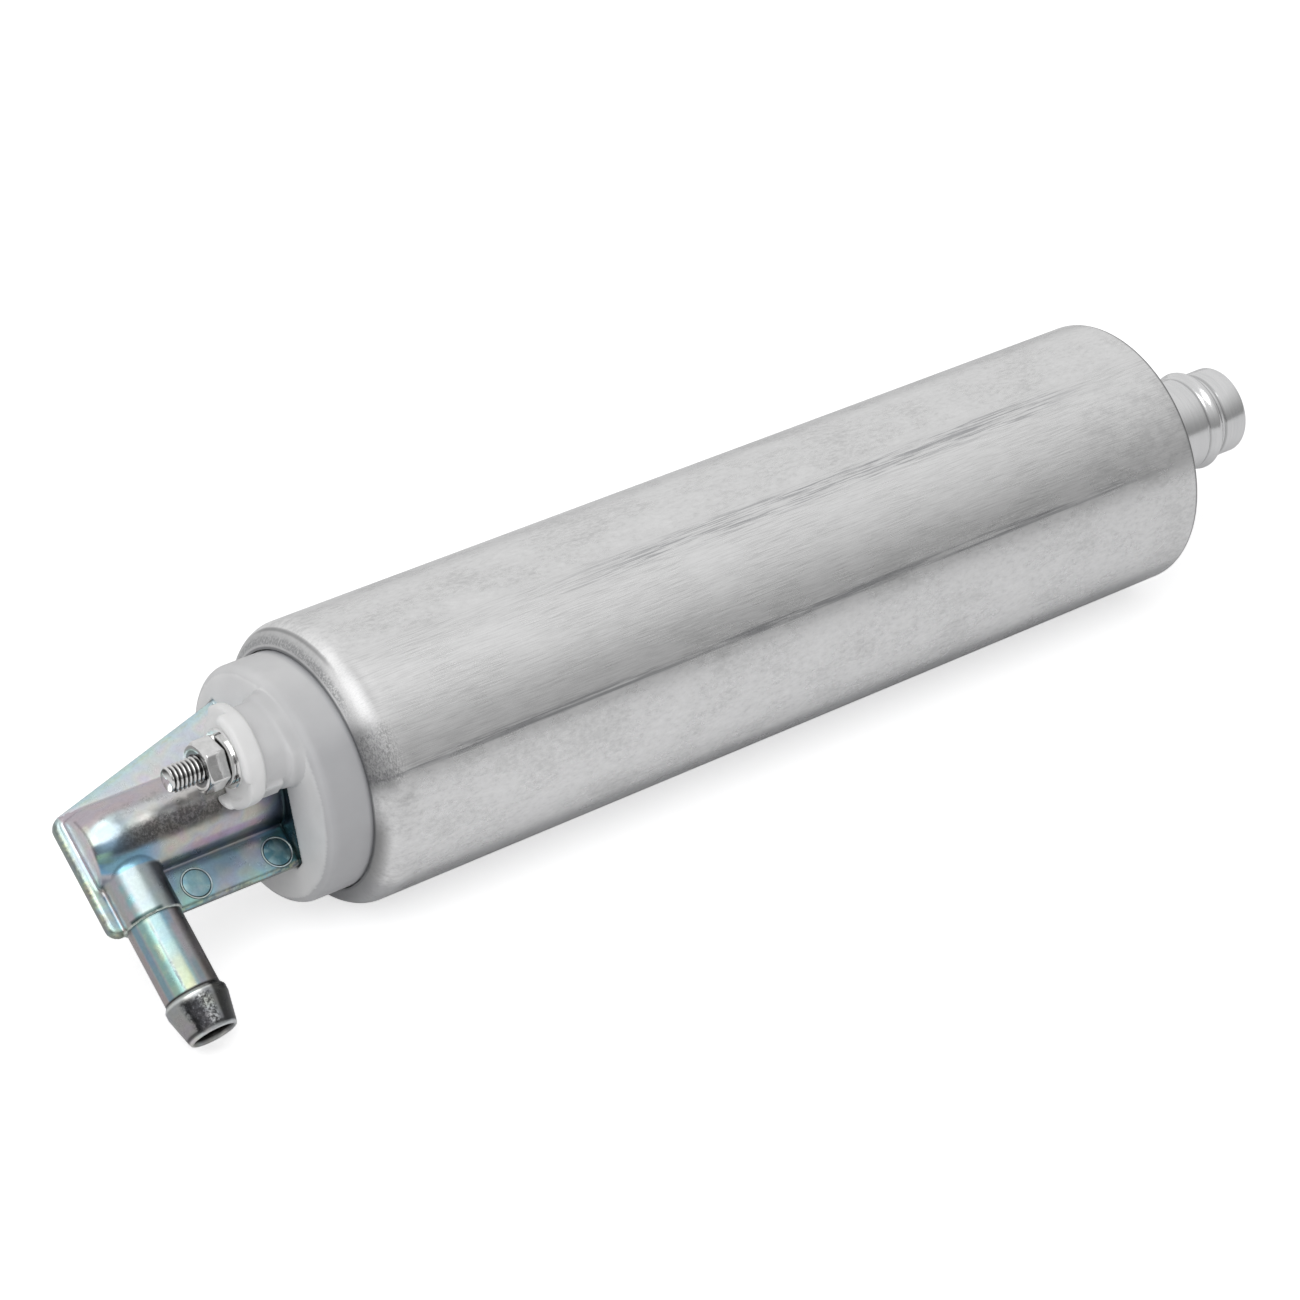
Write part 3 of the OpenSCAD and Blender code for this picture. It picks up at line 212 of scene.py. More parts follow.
def new_finish(name, colour=(0.8, 0.8, 0.8), metallic=0.0, roughness=0.5, **sockets):
    """Material and its parts: (material, node tree, shader, object coordinates)."""
    finish = bpy.data.materials.new(name)
    finish.use_nodes = True
    tree = finish.node_tree
    shader = tree.nodes["Principled BSDF"]
    shader.inputs["Base Color"].default_value = (*colour, 1)
    shader.inputs["Metallic"].default_value = metallic
    shader.inputs["Roughness"].default_value = roughness
    for socket, value in sockets.items():
        shader.inputs[socket.replace("_", " ")].default_value = value
    return finish, tree, shader, put(tree, "TexCoord").outputs["Object"]


def noise(tree, place, scale, detail=3.0, rough=0.55):
    """Noise from 0 to 1 whose grain has scale waves a metre along X, Y and Z."""
    scale = (scale,) * 3 if np.isscalar(scale) else scale
    spread = put(tree, "Mapping", {"Vector": place, "Scale": scale}).outputs[0]
    grain = {"Vector": spread, "Scale": 1.0, "Detail": detail, "Roughness": rough}
    return put(tree, "TexNoise", grain).outputs["Fac"]


def math_node(tree, operation, a, b=0.0, c=0.0):
    """One sum of sockets or numbers."""
    return put(tree, "Math", {0: a, 1: b, 2: c}, operation=operation).outputs[0]


def product(tree, *factors):
    """All the sockets or numbers, multiplied."""
    total = factors[0]
    for factor in factors[1:]:
        total = math_node(tree, "MULTIPLY", total, factor)
    return total


def step(tree, value, low, high):
    """Smooth rise from 0 at low to 1 at high; with low over high it falls."""
    return put(tree, "MapRange", {"Value": value, "From Min": low, "From Max": high},
               interpolation_type="SMOOTHSTEP").outputs[0]


def band(tree, value, a, b, c, d):
    """Rises from a to b and falls from c to d."""
    return product(tree, step(tree, value, a, b), step(tree, value, d, c))


def tint(tree, shade, amount, target):
    """Mix of shade towards the target colour by amount."""
    return put(tree, "Mix", {0: amount, 6: shade, 7: (*target, 1)}, data_type="RGBA").outputs[2]


def relief(tree, shader, height, depth):
    """Bump of the given depth in metres."""
    bump = put(tree, "Bump", {"Height": height, "Distance": depth, "Strength": 1.0})
    tree.links.new(bump.outputs[0], shader.inputs["Normal"])


brushed, tree, shader, place = new_finish("brushed_can_aluminium", (0.86, 0.86, 0.86), 1.0, 0.26)
spot = put(tree, "SeparateXYZ", {0: place})
across = put(tree, "CombineXYZ", {1: spot.outputs["Y"], 2: spot.outputs["Z"]}).outputs[0]
across = put(tree, "VectorMath", {0: across}, operation="LENGTH").outputs["Value"]
# millimetres along the can and from its axis, and degrees round it, up from level with its -Y side
along, radius = product(tree, spot.outputs["X"], 1000), product(tree, across, 1000)
turn = math_node(tree, "ARCTAN2", spot.outputs["Z"], product(tree, spot.outputs["Y"], -1.0))
turn = math_node(tree, "DEGREES", turn)

hair = noise(tree, place, (230, 6500, 6500), 5, 0.7)
streak = noise(tree, place, (110, 4300, 4300), 5, 0.7)
fleck = noise(tree, place, (800, 1500, 1500), 4, 0.75)
cloud = noise(tree, place, (90, 150, 150), 5, 0.62)
brush_zone = band(tree, turn, 17.2, 24.1, 69.9, 76.8)
dull = math_node(tree, "MULTIPLY_ADD", fleck, 0.55, product(tree, cloud, 0.45))
fine = math_node(tree, "MULTIPLY_ADD", hair, 0.8, product(tree, cloud, 0.2))
mixed = put(tree, "Mix", {0: brush_zone, 2: dull, 3: fine}).outputs[0]
shade = ramp(tree, mixed, (0.32, 0.68), (0.50, 0.89), (0.68, 1.0))

blotch = step(tree, noise(tree, place, (420, 620, 620), 5, 0.7), 0.46, 0.62)
broken = step(tree, noise(tree, place, (60, 2600, 2600), 5, 0.7), 0.42, 0.58)
patchy = step(tree, noise(tree, place, (45, 700, 700), 3), 0.25, 0.62)
hatched = step(tree, noise(tree, place, (5200, 2200, 2200), 5, 0.8), 0.40, 0.62)
rubbed = step(tree, noise(tree, place, (900, 3000, 3000), 4, 0.7), 0.38, 0.58)
scuffs_and_reflection_line = math_node(tree, "MAXIMUM", product(tree, band(tree, turn, 20.1, 21.3, 22.8, 25.2), broken),
                   product(tree, band(tree, turn, 20.6, 21.1, 21.7, 22.2), patchy))
marks_and_painted_light = (
    # dark streaks along the top of the brushed side: scratches deepened into a painted dark reflection band,
    # with painted highlight streaks below them
    (0.75, (0.38, 0.385, 0.40), band(tree, turn, 60.7, 65.3, 69.9, 73.3),
     band(tree, along, -50, -15, 50, 70), step(tree, streak, 0.46, 0.60)),
    (0.35, (1.0, 1.0, 1.0), band(tree, turn, 53.9, 57.3, 63.0, 67.6), step(tree, streak, 0.56, 0.44)),
    # worn blotches near the inlet, and under the brushed side a painted dark reflection line, broken up by
    # scuffs
    (0.25, (0.50, 0.50, 0.51), band(tree, turn, 17.2, 24.1, 57.3, 68.8), step(tree, along, 50, 66), blotch),
    (0.72, (0.32, 0.325, 0.34), scuffs_and_reflection_line, step(tree, along, 85, 40)),
    # the roll's near side: painted shade at its edge that dims the lamp's highlight, deeper painted shade
    # behind that, hatched by tool marks, and painted shade on its underside by the cap
    (0.72, (0.26, 0.26, 0.265), band(tree, turn, 11.5, 20.6, 40.1, 52.7), step(tree, along, -73.8, -76.6)),
    (0.55, (0.10, 0.10, 0.105), band(tree, turn, 16.0, 21.8, 37.8, 45.8), step(tree, along, -72.2, -75.0),
     hatched),
    (0.65, (0.22, 0.22, 0.22), band(tree, turn, -149, -103.1, -5.7, 11.5), step(tree, along, -76.2, -78.0)),
    # the roll's top: painted shade in front of a painted dark crease line, and a patch of painted shade
    # beside it that dims the lamp's highlight
    (0.50, (0.42, 0.42, 0.425), band(tree, turn, 64.2, 77.9, 149, 166.2), step(tree, along, -76.3, -76.55)),
    (0.45, (0.16, 0.16, 0.165), band(tree, turn, 65.9, 80.2, 120.3, 131.8),
     band(tree, along, -76.9, -76.6, -76.4, -76.1)),
    (0.36, (0.42, 0.42, 0.425), band(tree, turn, 41.3, 52.7, 65.3, 76.8),
     band(tree, along, -77.9, -76.8, -74.8, -72.8)),
    # the line where the roll meets the cap, and the rubbed ring above it
    (0.75, (0.20, 0.205, 0.215), band(tree, radius, 18.15, 18.2, 18.4, 18.7),
     step(tree, along, -76.5, -77.5)),
    (0.65, (0.30, 0.305, 0.315), band(tree, radius, 18.8, 19.0, 19.6, 20.3),
     band(tree, turn, 43.0, 65.9, 137.5, 160.4), rubbed),
    # painted shade along the can's underside, and a painted shade line round its back edge
    (0.55, (0.42, 0.425, 0.44), band(tree, turn, -137.5, -80.2, -36.7, -26.9)),
    (0.85, (0.14, 0.14, 0.145), step(tree, along, 77.4, 77.8), step(tree, radius, 20.8, 21.1)),
)
for amount, colour, *masks in marks_and_painted_light:
    shade = tint(tree, shade, product(tree, *masks, amount), colour)
tree.links.new(shade, shader.inputs["Base Color"])
satin = ramp(tree, cloud, (0.3, 0.22), (0.7, 0.34))
satin = tint(tree, satin, product(tree, step(tree, along, -71.5, -75.0), 0.9), (0.58, 0.58, 0.58))
tree.links.new(satin, shader.inputs["Roughness"])
height = product(tree, hair, math_node(tree, "MULTIPLY_ADD", brush_zone, 0.8, 0.25))
height = math_node(tree, "MULTIPLY_ADD", streak, product(tree, brush_zone, 1.2), height)
relief(tree, shader, height, 0.000022)
can.data.materials.append(brushed)


# Outlet cap
# Moulded in natural white acetal. A stepped disc stands out of the can's rolled edge, and a flanged
# boss for each terminal grows out of its face, on either side of a round pocket for the elbow.
cap_r, cap_rise, cap_root, cap_back = 18.0, 7.2, -2, -1.3
flow_r, pocket_floor, base_r, base_gap = 6.3, 5.5, 7.7, 0.12
plate_t, plate_low, plate_root = 2.0, 12.7, 14.6
stud_side, stud_up, stud_hole_r, spigot_hole_r = 11.8, 2.3, 2.05, 5.85
boss_face, flange_r, flange_t = 17.1, 7.7, 3.5
boss_foot_r, boss_foot_end, boss_neck_r = 7.0, 9.3, 6.3
rib_half, rib_long, rib_start, rib_end = 1.5, 7.0, 10.3, 14.1
recess_r, recess_floor, wire_way, wire_floor = 6.2, 15.5, 4.2, 16.3
collar_lean, collar_end, collar_cut_r, flat_side = math.radians(31.3), -0.5, 9.5, -5.1


def between(value, low, high):
    """Distance to the slab in which value lies between low and high."""
    return np.abs(value - (low + high) / 2) - (high - low) / 2


def rounded(a, b, r):
    """Distance to the overlap of two solids at distances a and b, with its edge rounded to r."""
    return np.minimum(np.maximum(a, b) + r, 0) + np.hypot(np.maximum(a + r, 0), np.maximum(b + r, 0)) - r


def merged(a, b, r):
    """Distance to the union of two solids, with a fillet of about r in the corner."""
    h = np.clip(0.5 + 0.5 * (b - a) / r, 0, 1)
    return b + (a - b) * h - r * h * (1 - h)


def carved(a, hole, r):
    """Distance to solid a without the hole, with the hole's edge rounded by about r."""
    return -merged(-a, hole, r)


def from_lip(s, u, v):
    """Points of the pump's frame, given by how far they are out of the can's front lip (s), towards the
    barb (u) and towards the plate's open side (v) from the axis: (x_front - s, -v, -u)."""
    return np.stack(np.broadcast_arrays(x_front - s, -v, -u), -1)


def cast_piece(name, distance, low, high, step, crease=50):
    """Closed surface where distance(s, u, v) is 0, and its points. Surface nets: each grid cell that the
    surface crosses gets one point, the mean of the crossings on its edges, which then slides along the
    gradient onto the surface; each crossed grid edge gets the quad of the four cells round it."""
    axes = [np.arange(a, b + step, step) for a, b in zip(low, high)]
    field = distance(*np.meshgrid(*axes, indexing="ij", sparse=True)).astype(np.float32)
    cells = np.array(field.shape) - 1
    total, count, quads = np.zeros((cells.prod(), 3)), np.zeros(cells.prod()), []
    for k in range(3):
        first = np.take(field, range(cells[k]), k)
        last = np.take(field, range(1, cells[k] + 1), k)
        at = np.argwhere((first < 0) != (last < 0))
        f0, f1 = first[tuple(at.T)], last[tuple(at.T)]
        crossing = at.astype(float)
        crossing[:, k] += f0 / (f0 - f1)
        a, b = np.eye(3, dtype=int)[[(k + 1) % 3, (k + 2) % 3]]
        corners = [np.ravel_multi_index((at - shift).T, cells) for shift in (0 * a, a, a + b, b)]
        for corner in corners:
            np.add.at(total, corner, crossing)
            np.add.at(count, corner, 1)
        quads.append(np.stack([np.where(f0 < 0, c, d) for c, d in zip(corners, corners[::-1])], -1))
    used, quads = np.unique(np.concatenate(quads), return_inverse=True)
    points = np.array(low) + step * total[used] / count[used, None]
    nudge = 0.01 * np.eye(3)
    for _ in range(3):
        slope = np.stack([distance(*(points + n).T) - distance(*(points - n).T) for n in nudge], -1) / 0.02
        move = distance(*points.T) / np.maximum((slope ** 2).sum(-1), 0.2)
        points -= np.clip(move, -step / 2, step / 2)[:, None] * slope
    return piece(name, from_lip(*points.T), quads.reshape(-1, 4).tolist(), crease), points


def store(made, name, values):
    """Keep a number for each vertex, for the piece's material to read."""
    made.data.attributes.new(name, "FLOAT", "POINT").data.foreach_set("value", values.astype(np.float32))


def base_outline(u, v):
    """Distance to the outline of the elbow's base: from each corner of the plate's root a straight side
    runs to touch a circle of radius base_r, so it is u cos t + v sin t - base_r, and the bosses' feet
    cut into it."""
    edge = np.maximum(u - plate_low, -u - plate_root)
    edge = np.maximum(edge, boss_foot_r + base_gap - np.hypot(u + stud_up, np.abs(v) - stud_side))
    for corner_u, corner_v, way in ((plate_low, 0, 1), (-plate_root, 0, -1), (plate_low, -plate_t, -1),
                                    (-plate_root, -plate_t, 1)):
        t = math.atan2(corner_v, corner_u) + way * math.acos(base_r / math.hypot(corner_u, corner_v))
        edge = np.maximum(edge, u * math.cos(t) + v * math.sin(t) - base_r)
    return edge


def cap_distance(s, u, v):
    """A rounded disc with two flanged bosses, less the pocket, the recesses, the ways for the wires and
    the holes. Each flange is cut flat towards the plate, and its collar stands only on the far side."""
    middle, boss = np.hypot(u, v), np.hypot(u + stud_up, np.abs(v) - stud_side)
    disc = rounded(middle - cap_r, between(s, cap_root, cap_rise), 1.6)
    foot = rounded(rounded(boss - boss_foot_r, s - boss_foot_end, 0.6), middle - cap_r + 0.5, 0.5)
    neck = rounded(np.maximum(boss - boss_neck_r, s - boss_face + 1), middle - cap_r + 0.5, 0.5)
    rib = np.maximum(between(np.abs(v) - stud_side, -rib_half, rib_half), between(u + stud_up, 0, rib_long))
    rib = np.maximum(rib, between(s, rib_start, rib_end))
    way_round = np.arctan2(u + stud_up, np.abs(v) - stud_side)
    uneven = boss + 0.12 + 0.08 * np.sin(3 * way_round + 0.6) + 0.05 * np.sin(8 * way_round)
    flange = rounded(uneven - flange_r, between(s, boss_face - flange_t, boss_face), 0.8)
    across = (u + stud_up) * math.cos(collar_lean) + (np.abs(v) - stud_side) * math.sin(collar_lean)
    flange = rounded(flange, flat_side - across, 0.4)
    solid = merged(disc, foot, 0.9)
    solid = merged(solid, merged(merged(neck, flange, 0.5), rib, 0.5), 0.7)
    pocket = np.maximum(base_outline(u, v) - base_gap, between(s, pocket_floor, cap_rise + 0.3))
    solid = carved(solid, pocket, 0.25)
    solid = carved(solid, np.maximum(middle - flow_r - base_gap, pocket_floor - s), 0.3)
    solid = carved(solid, np.maximum(boss - recess_r, recess_floor - s), 0.3)
    collar_cut = np.maximum(np.maximum(across - collar_end, recess_floor - s), boss - collar_cut_r)
    solid = carved(solid, collar_cut, 0.3)
    way = np.maximum(np.abs(np.abs(v) - stud_side) - wire_way, -u - stud_up)
    solid = carved(solid, np.maximum(way, wire_floor - s), 0.35)
    holes = np.minimum(boss - stud_hole_r, middle - spigot_hole_r)
    return np.maximum(carved(solid, holes, 0.2), cap_back - s)


cap, points = cast_piece("outlet_cap_face", cap_distance, (-2.0, -19.2, -21.0), (18.0, 19.2, 21.0), 0.3)
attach(cap, "pump_body")
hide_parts("outlet_cap")

# painted shade: some on the bosses' necks, more on the disc and its rim, deepest on their lower side and by
# the can's lip
s, u, v = points.T
middle = np.hypot(u, v)
low_side = np.clip((u * 0.8 + v * 0.6) / 14, 0, 1)
rim = np.clip((middle - 16.2) / 1.6, 0, 1) * (s < 9)
cap_shade = np.maximum((0.05 + 0.15 * (s > cap_rise + 0.1)) * (s < 13.4), rim * (0.03 + 0.34 * low_side))
cap_shade = np.maximum(cap_shade, (0.16 + 0.18 * low_side) * (s < cap_rise - 0.1))
cap_shade = np.maximum(cap_shade, 0.5 * np.clip((1.8 - s) / 1.8, 0, 1) * (middle > 17))
store(cap, "cap_shade", cap_shade)

skirt_r, skirt_bore, skirt_end, seal_r, seal_start, seal_end = 20.2, 17.0, 13.1, 18.7, 7.5, 9.7
skirt = turned("outlet_cap_skirt", [(x_front + a, b) for a, b in (
    (1.35, cap_r), (1.6, 18.9), (2.6, 19.85), (3.9, skirt_r), (seal_start, skirt_r), (seal_start, seal_r),
    (seal_end, seal_r), (seal_end, skirt_r), (skirt_end, skirt_r), (skirt_end, skirt_bore),
    (3.9, skirt_bore), (1.35, 15.8))], 192)
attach(skirt, "pump_body")

acetal, tree, shader, place = new_finish("natural_acetal", (0.84, 0.84, 0.84), 0.0, 0.38,
                                         Subsurface_Weight=0.35, Subsurface_Scale=0.0022,
                                         Subsurface_Radius=(1.0, 1.0, 1.0))
clouds = noise(tree, place, 220, 5)
shade = ramp(tree, clouds, (0.3, (0.87, 0.87, 0.87)), (0.7, (0.95, 0.95, 0.948)))
# the painted shade darkens the acetal towards a blue grey
cap_shade_amount = put(tree, "Attribute", attribute_name="cap_shade").outputs["Fac"]
shade = tint(tree, shade, product(tree, cap_shade_amount, 1.7), (0.30, 0.305, 0.328))
tree.links.new(shade, shader.inputs["Base Color"])
tree.links.new(ramp(tree, noise(tree, place, 900, 3), (0.3, 0.32), (0.7, 0.44)), shader.inputs["Roughness"])
relief(tree, shader, noise(tree, place, 1500, 3), 0.00001)
for part in (cap, skirt):
    part.data.materials.append(acetal)


# Outlet elbow
# Zinc die casting: a flow tube along the pump's axis, a gusset plate beside it, and a stem with a hose
# barb cast square to it. Its clear passivation shimmers from straw and pink to teal; the barb is bare.
flow_reach, taper_s, stem_s = 36.8, 31.5, 31.68
plate_far, plate_high, plate_chamfer, cos_45, base_face = 38.3, 6.3, 0.5, 0.7071, 7.05
socket_r, socket_end, stem_r, stem_bore = 4.5, 12.6, 4.17, 2.8
plug_r, plug_back, flow_bore, flow_bore_end = 5.8, -10, 3.8, 34.3
ring_groove, clip_groove = (-1.1, 1.1, 4.9), (-8.875, -8.025, 5.0)


def elbow_distance(s, u, v):
    """The tube, plate, base and socket merged with small cast fillets, and the grooved plug that holds
    the elbow in the cap, less the two bores. Towards its blind end the tube draws in to an oval, 14%
    narrower and 40% lower, by the square of the way from taper_s."""
    middle, beside = np.hypot(u, v), np.hypot(s - stem_s, v)
    taper = np.clip((s - taper_s) / (flow_reach - taper_s), 0, 1) ** 2
    drawn_in = np.hypot(u / (1 - 0.14 * taper), v / (1 - 0.40 * taper)) - flow_r
    tube = np.maximum(rounded(0.75 * drawn_in, s - flow_reach, 0.35), pocket_floor - s)
    fall = math.atan2(plate_root - plate_high, plate_far - cap_rise)
    slant = (s - plate_far) * math.sin(fall) - (u + plate_high) * math.cos(fall)
    outline = rounded(rounded(s - plate_far, u - plate_low, 1.8), slant, 1.6)
    outline = np.maximum(outline, base_face - 0.3 - s)
    across = between(v, -plate_t, 0)
    chamfer = (outline + across + plate_chamfer) * cos_45
    plate = rounded(np.maximum(outline, chamfer), across, 0.15)
    base = rounded(base_outline(u, v), between(s, pocket_floor, base_face), 0.2)
    socket = rounded(beside - socket_r, between(u, 0, socket_end), 0.18)
    plug = rounded(middle - plug_r, between(s, plug_back, pocket_floor + 0.5), 0.3)
    for start, end, groove_r in (ring_groove, clip_groove):
        plug = np.maximum(plug, -np.maximum(between(s, start, end), groove_r - middle))
    solid = merged(merged(merged(tube, plate, 0.55), socket, 0.4), base, 0.3)
    bores = np.minimum(np.maximum(middle - flow_bore, s - flow_bore_end), np.maximum(beside - stem_bore, -u))
    return carved(np.minimum(solid, plug), bores, 0.3)


elbow, points = cast_piece("outlet_elbow_casting", elbow_distance,
                           (-10.6, -15.4, -8.0), (39.0, 13.4, 8.0), 0.25)
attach(elbow, "pump_body")
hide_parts("outlet_elbow")


def bump_map(points, size, seed):
    """Smooth noise from -1 to 1 at the points: random waves of about the given length, summed."""
    rng = np.random.default_rng(seed)
    waves = rng.normal(size=(24, 3))
    rate = 2 * np.pi / size * rng.uniform(0.6, 1.6, (24, 1))
    waves *= rate / np.linalg.norm(waves, axis=1, keepdims=True)
    return np.sin(points @ waves.T + rng.uniform(0, 6.28, 24)).sum(1) / 7


def film_colour(nanometres, depth):
    """Reflection tint of a clear film: for each of red, green and blue it is
    1 - depth * (1 + cos(4 pi n t / wave)) / 2, where depth is a number, or a column with one for each
    point."""
    waves = np.array([640.0, 545.0, 455.0])
    return 1 - depth * (0.5 + 0.5 * np.cos(4 * np.pi * 1.45 * nanometres[:, None] / waves))


def smooth(value, low, high):
    """Smooth rise from 0 at low to 1 at high."""
    t = np.clip((value - low) / (high - low), 0, 1)
    return t * t * (3 - 2 * t)


def window(value, low, high, soft):
    """1 between low and high, falling to 0 over the given width outside them."""
    return smooth(value, low - soft, low) * (1 - smooth(value, high, high + soft))


def paint_film_and_light(made, points, shade, lay, gloss, speckle):
    """Paint a casting's vertices: each layer of (amount, colour) goes over the last, then the clear film's
    tint. The layers hold the film's colours and also painted highlights and painted shade. The fourth
    channel keeps the amount of speckle."""
    paint = np.tile(np.array(shade, float), (len(points), 1))
    for amount, colour in lay:
        paint += np.clip(amount, 0, 1)[:, None] * (np.array(colour) - paint)
    paint *= film_colour(255 + 100 * bump_map(points, 8, 7) + 40 * bump_map(points, 2.5, 8), gloss)
    layer = made.data.color_attributes.new("film_and_painted_light", "FLOAT_COLOR", "POINT")
    whole = np.hstack([np.clip(paint, 0.01, 1), np.clip(speckle, 0, 1)[:, None]])
    layer.data.foreach_set("color", whole.astype(np.float32).ravel())


s, u, v = points.T
turn = np.degrees(np.arctan2(v, -u))  # 0 up the plate, 90 at the tube's crest, 180 towards the barb
side = np.degrees(np.arctan2(s - stem_s, v))  # 0 on the socket's open side, 90 towards the blind end
far = np.hypot(u, v)
on_socket = smooth(u, 5.2, 5.8) * (np.hypot(s - stem_s, v) < socket_r + 0.3)
past_end = smooth(s, 36.9, 37.15)
on_end = smooth(s, 36.45, 36.75) * (1 - past_end) * (far < 6.2) * (v > 0.15)
on_plate = (1 - on_socket) * np.maximum((1 - on_end) * (far > flow_r + 0.25), past_end) * (v < 0.9)
on_tube = (1 - on_socket) * (1 - on_end) * (1 - on_plate) * (s > base_face)
low_plate, high_plate = on_plate * (u > 0), on_plate * (u < 0)
wave, ripple = bump_map(points, 9, 4), bump_map(points, 3.2, 5)
uneven_turn = turn + 3 * bump_map(points, 4, 3)
dark_reflection_band = on_tube * window(uneven_turn, 100, 112, 12) * window(s, 19, 29, 6)
rim = on_plate * smooth(np.maximum(s - plate_far, u - plate_low), -0.75, -0.35)
speck = smooth(bump_map(points, 0.9, 6), -0.2, 0.5)
past_slant = -u - 6.2 - (plate_far - s) * 0.27
lay = [
    # the tube: violet up its side, a painted silver highlight along the crest, a painted dark reflection
    # band below it, then grey and violet, and painted shade along its underside
    (on_tube * window(turn, 0, 56, 16), (0.66, 0.59, 0.63)),
    (on_tube * window(turn, 75, 90, 12), (0.90, 0.89, 0.885)),
    (on_tube * window(uneven_turn, 104, 119, 10), (0.42, 0.40, 0.40)),
    (on_tube * window(turn, 130, 148, 10), (0.70, 0.67, 0.67)),
    (on_tube * window(turn, 147, 152, 6) * smooth(26 - s, 0, 6), (0.60, 0.47, 0.60)),
    (on_tube * window(turn, 160, 180, 7), (0.38, 0.38, 0.41)),
    # towards its blind end: blue over the painted highlight, the painted dark reflection turned navy, blue
    # lower down, painted shade that dims the highlight, a painted straw highlight at the edge and green in
    # the corner
    (on_tube * window(turn, 72, 94, 10) * smooth(s, 28, 34), (0.66, 0.82, 0.86)),
    (on_tube * window(turn, 101, 118, 8) * smooth(s, 27, 34), (0.12, 0.18, 0.23)),
    (on_tube * window(turn, 126, 145, 8) * smooth(s, 26, 31), (0.28, 0.54, 0.72)),
    (on_tube * window(turn, 80, 95, 9) * window(s, 32.4, 34.8, 1.6) * 0.75, (0.40, 0.48, 0.52)),
    (on_tube * window(turn, 58, 92, 6) * smooth(s, 35.4, 36.1) * 0.7, (0.86, 0.90, 0.78)),
    (on_tube * window(turn, 118, 128, 6) * smooth(s, 34.0, 35.5) * 0.7, (0.34, 0.56, 0.42)),
    # painted shade where the cap shades the tube, the painted dark reflection band, and a painted shade line
    # along the end's edge
    (on_tube * (1 - smooth(s, 8.5, 12.5)), (0.17, 0.20, 0.26)),
    (0.65 * dark_reflection_band, (0.19, 0.18, 0.18)),
    (on_tube * window(s, 36.35, 36.5, 0.12) * window(turn, 35, 110, 6) * 0.6, (0.22, 0.20, 0.21)),
    # the blind end: pinkish, with a violet line at its foot and teal near the barb
    (on_end, (0.80, 0.74, 0.76)),
    (on_end * (1 - smooth(v, 0.15, 0.5)) * 0.5, (0.50, 0.34, 0.44)),
    (on_end * smooth(u, 3.6, 5.0) * 0.7, (0.30, 0.46, 0.52)),
    # the plate's upper half: pale blue and pink, teal along the slanted edge
    (high_plate, (0.86, 0.89, 0.94)),
    (high_plate * smooth(wave, 0.0, 0.7) * 0.8, (0.90, 0.86, 0.93)),
    (high_plate * smooth(past_slant, -1.8, -0.5) * 0.8, (0.70, 0.92, 0.93)),
    (high_plate * window(past_slant, -0.75, -0.60, 0.12) * smooth(ripple, -0.4, 0.3) * 0.3,
     (0.62, 0.62, 0.36)),
    (high_plate * (1 - smooth(-u, 6.6, 7.3)), (0.95, 0.97, 1.0)),
    # its lower half: steel blue, teal along the edge, painted shade beside the tube and where the cap shades
    # it
    (low_plate, (0.30, 0.43, 0.50)),
    (low_plate * smooth(u, 9.0, 12.4), (0.42, 0.70, 0.72)),
    (low_plate * smooth(wave, 0.1, 0.7) * window(s, 13, 22, 3), (0.52, 0.49, 0.58)),
    (low_plate * (1 - smooth(u, 6.7, 8.0)), (0.13, 0.17, 0.22)),
    (low_plate * (1 - smooth(s, 9.5, 12.5)), (0.10, 0.22, 0.27)),
    # its far strip, its specked rim and its back
    (on_plate * smooth(s, 36.6, 37.0), (0.56, 0.71, 0.70)),
    (on_plate * smooth(s, 36.6, 37.0) * smooth(ripple, 0.0, 0.7) * 0.5, (0.62, 0.60, 0.62)),
    (rim * (0.75 * smooth(u, 6, 12) + (u < 6)) * (s > 36), (0.34, 0.40, 0.36)),
    (rim * speck * 0.7, (0.60, 0.64, 0.48)),
    (rim * (1 - speck) * smooth(ripple, -0.6, 0.2) * 0.6, (0.24, 0.25, 0.22)),
    (on_plate * (v < -0.6), (0.36, 0.40, 0.38)),
    # the socket: silver with teal, straw and pink streaks, painted shade on its side towards the cap, and at
    # its end a painted shade line and a painted highlight on the edge
    (on_socket, (0.46, 0.51, 0.53)),
    (on_socket * (1 - smooth(side, -30, -8)), (0.17, 0.18, 0.20)),
    (on_socket * window(side, 2, 26, 12), (0.42, 0.50, 0.51)),
    (on_socket * window(side, 40, 54, 9) * smooth(ripple, -0.8, 0.4), (0.34, 0.56, 0.58)),
    (on_socket * window(side, 22, 34, 5) * smooth(wave, -0.3, 0.5) * 0.5, (0.50, 0.52, 0.34)),
    (on_socket * window(side, 54, 62, 5) * 0.6, (0.56, 0.48, 0.54)),
    (on_socket * smooth(side, 60, 78), (0.52, 0.47, 0.47)),
    (on_socket * smooth(u, 11.7, 12.1) * window(side, 0, 62, 6), (0.05, 0.09, 0.09)),
    (on_socket * smooth(u, 12.3, 12.5), (0.75, 0.82, 0.78)),
    # painted shade on the base, down in the cap's pocket
    ((s < base_face + 0.4) * smooth(u, -6, -2), (0.05, 0.08, 0.09)),
]
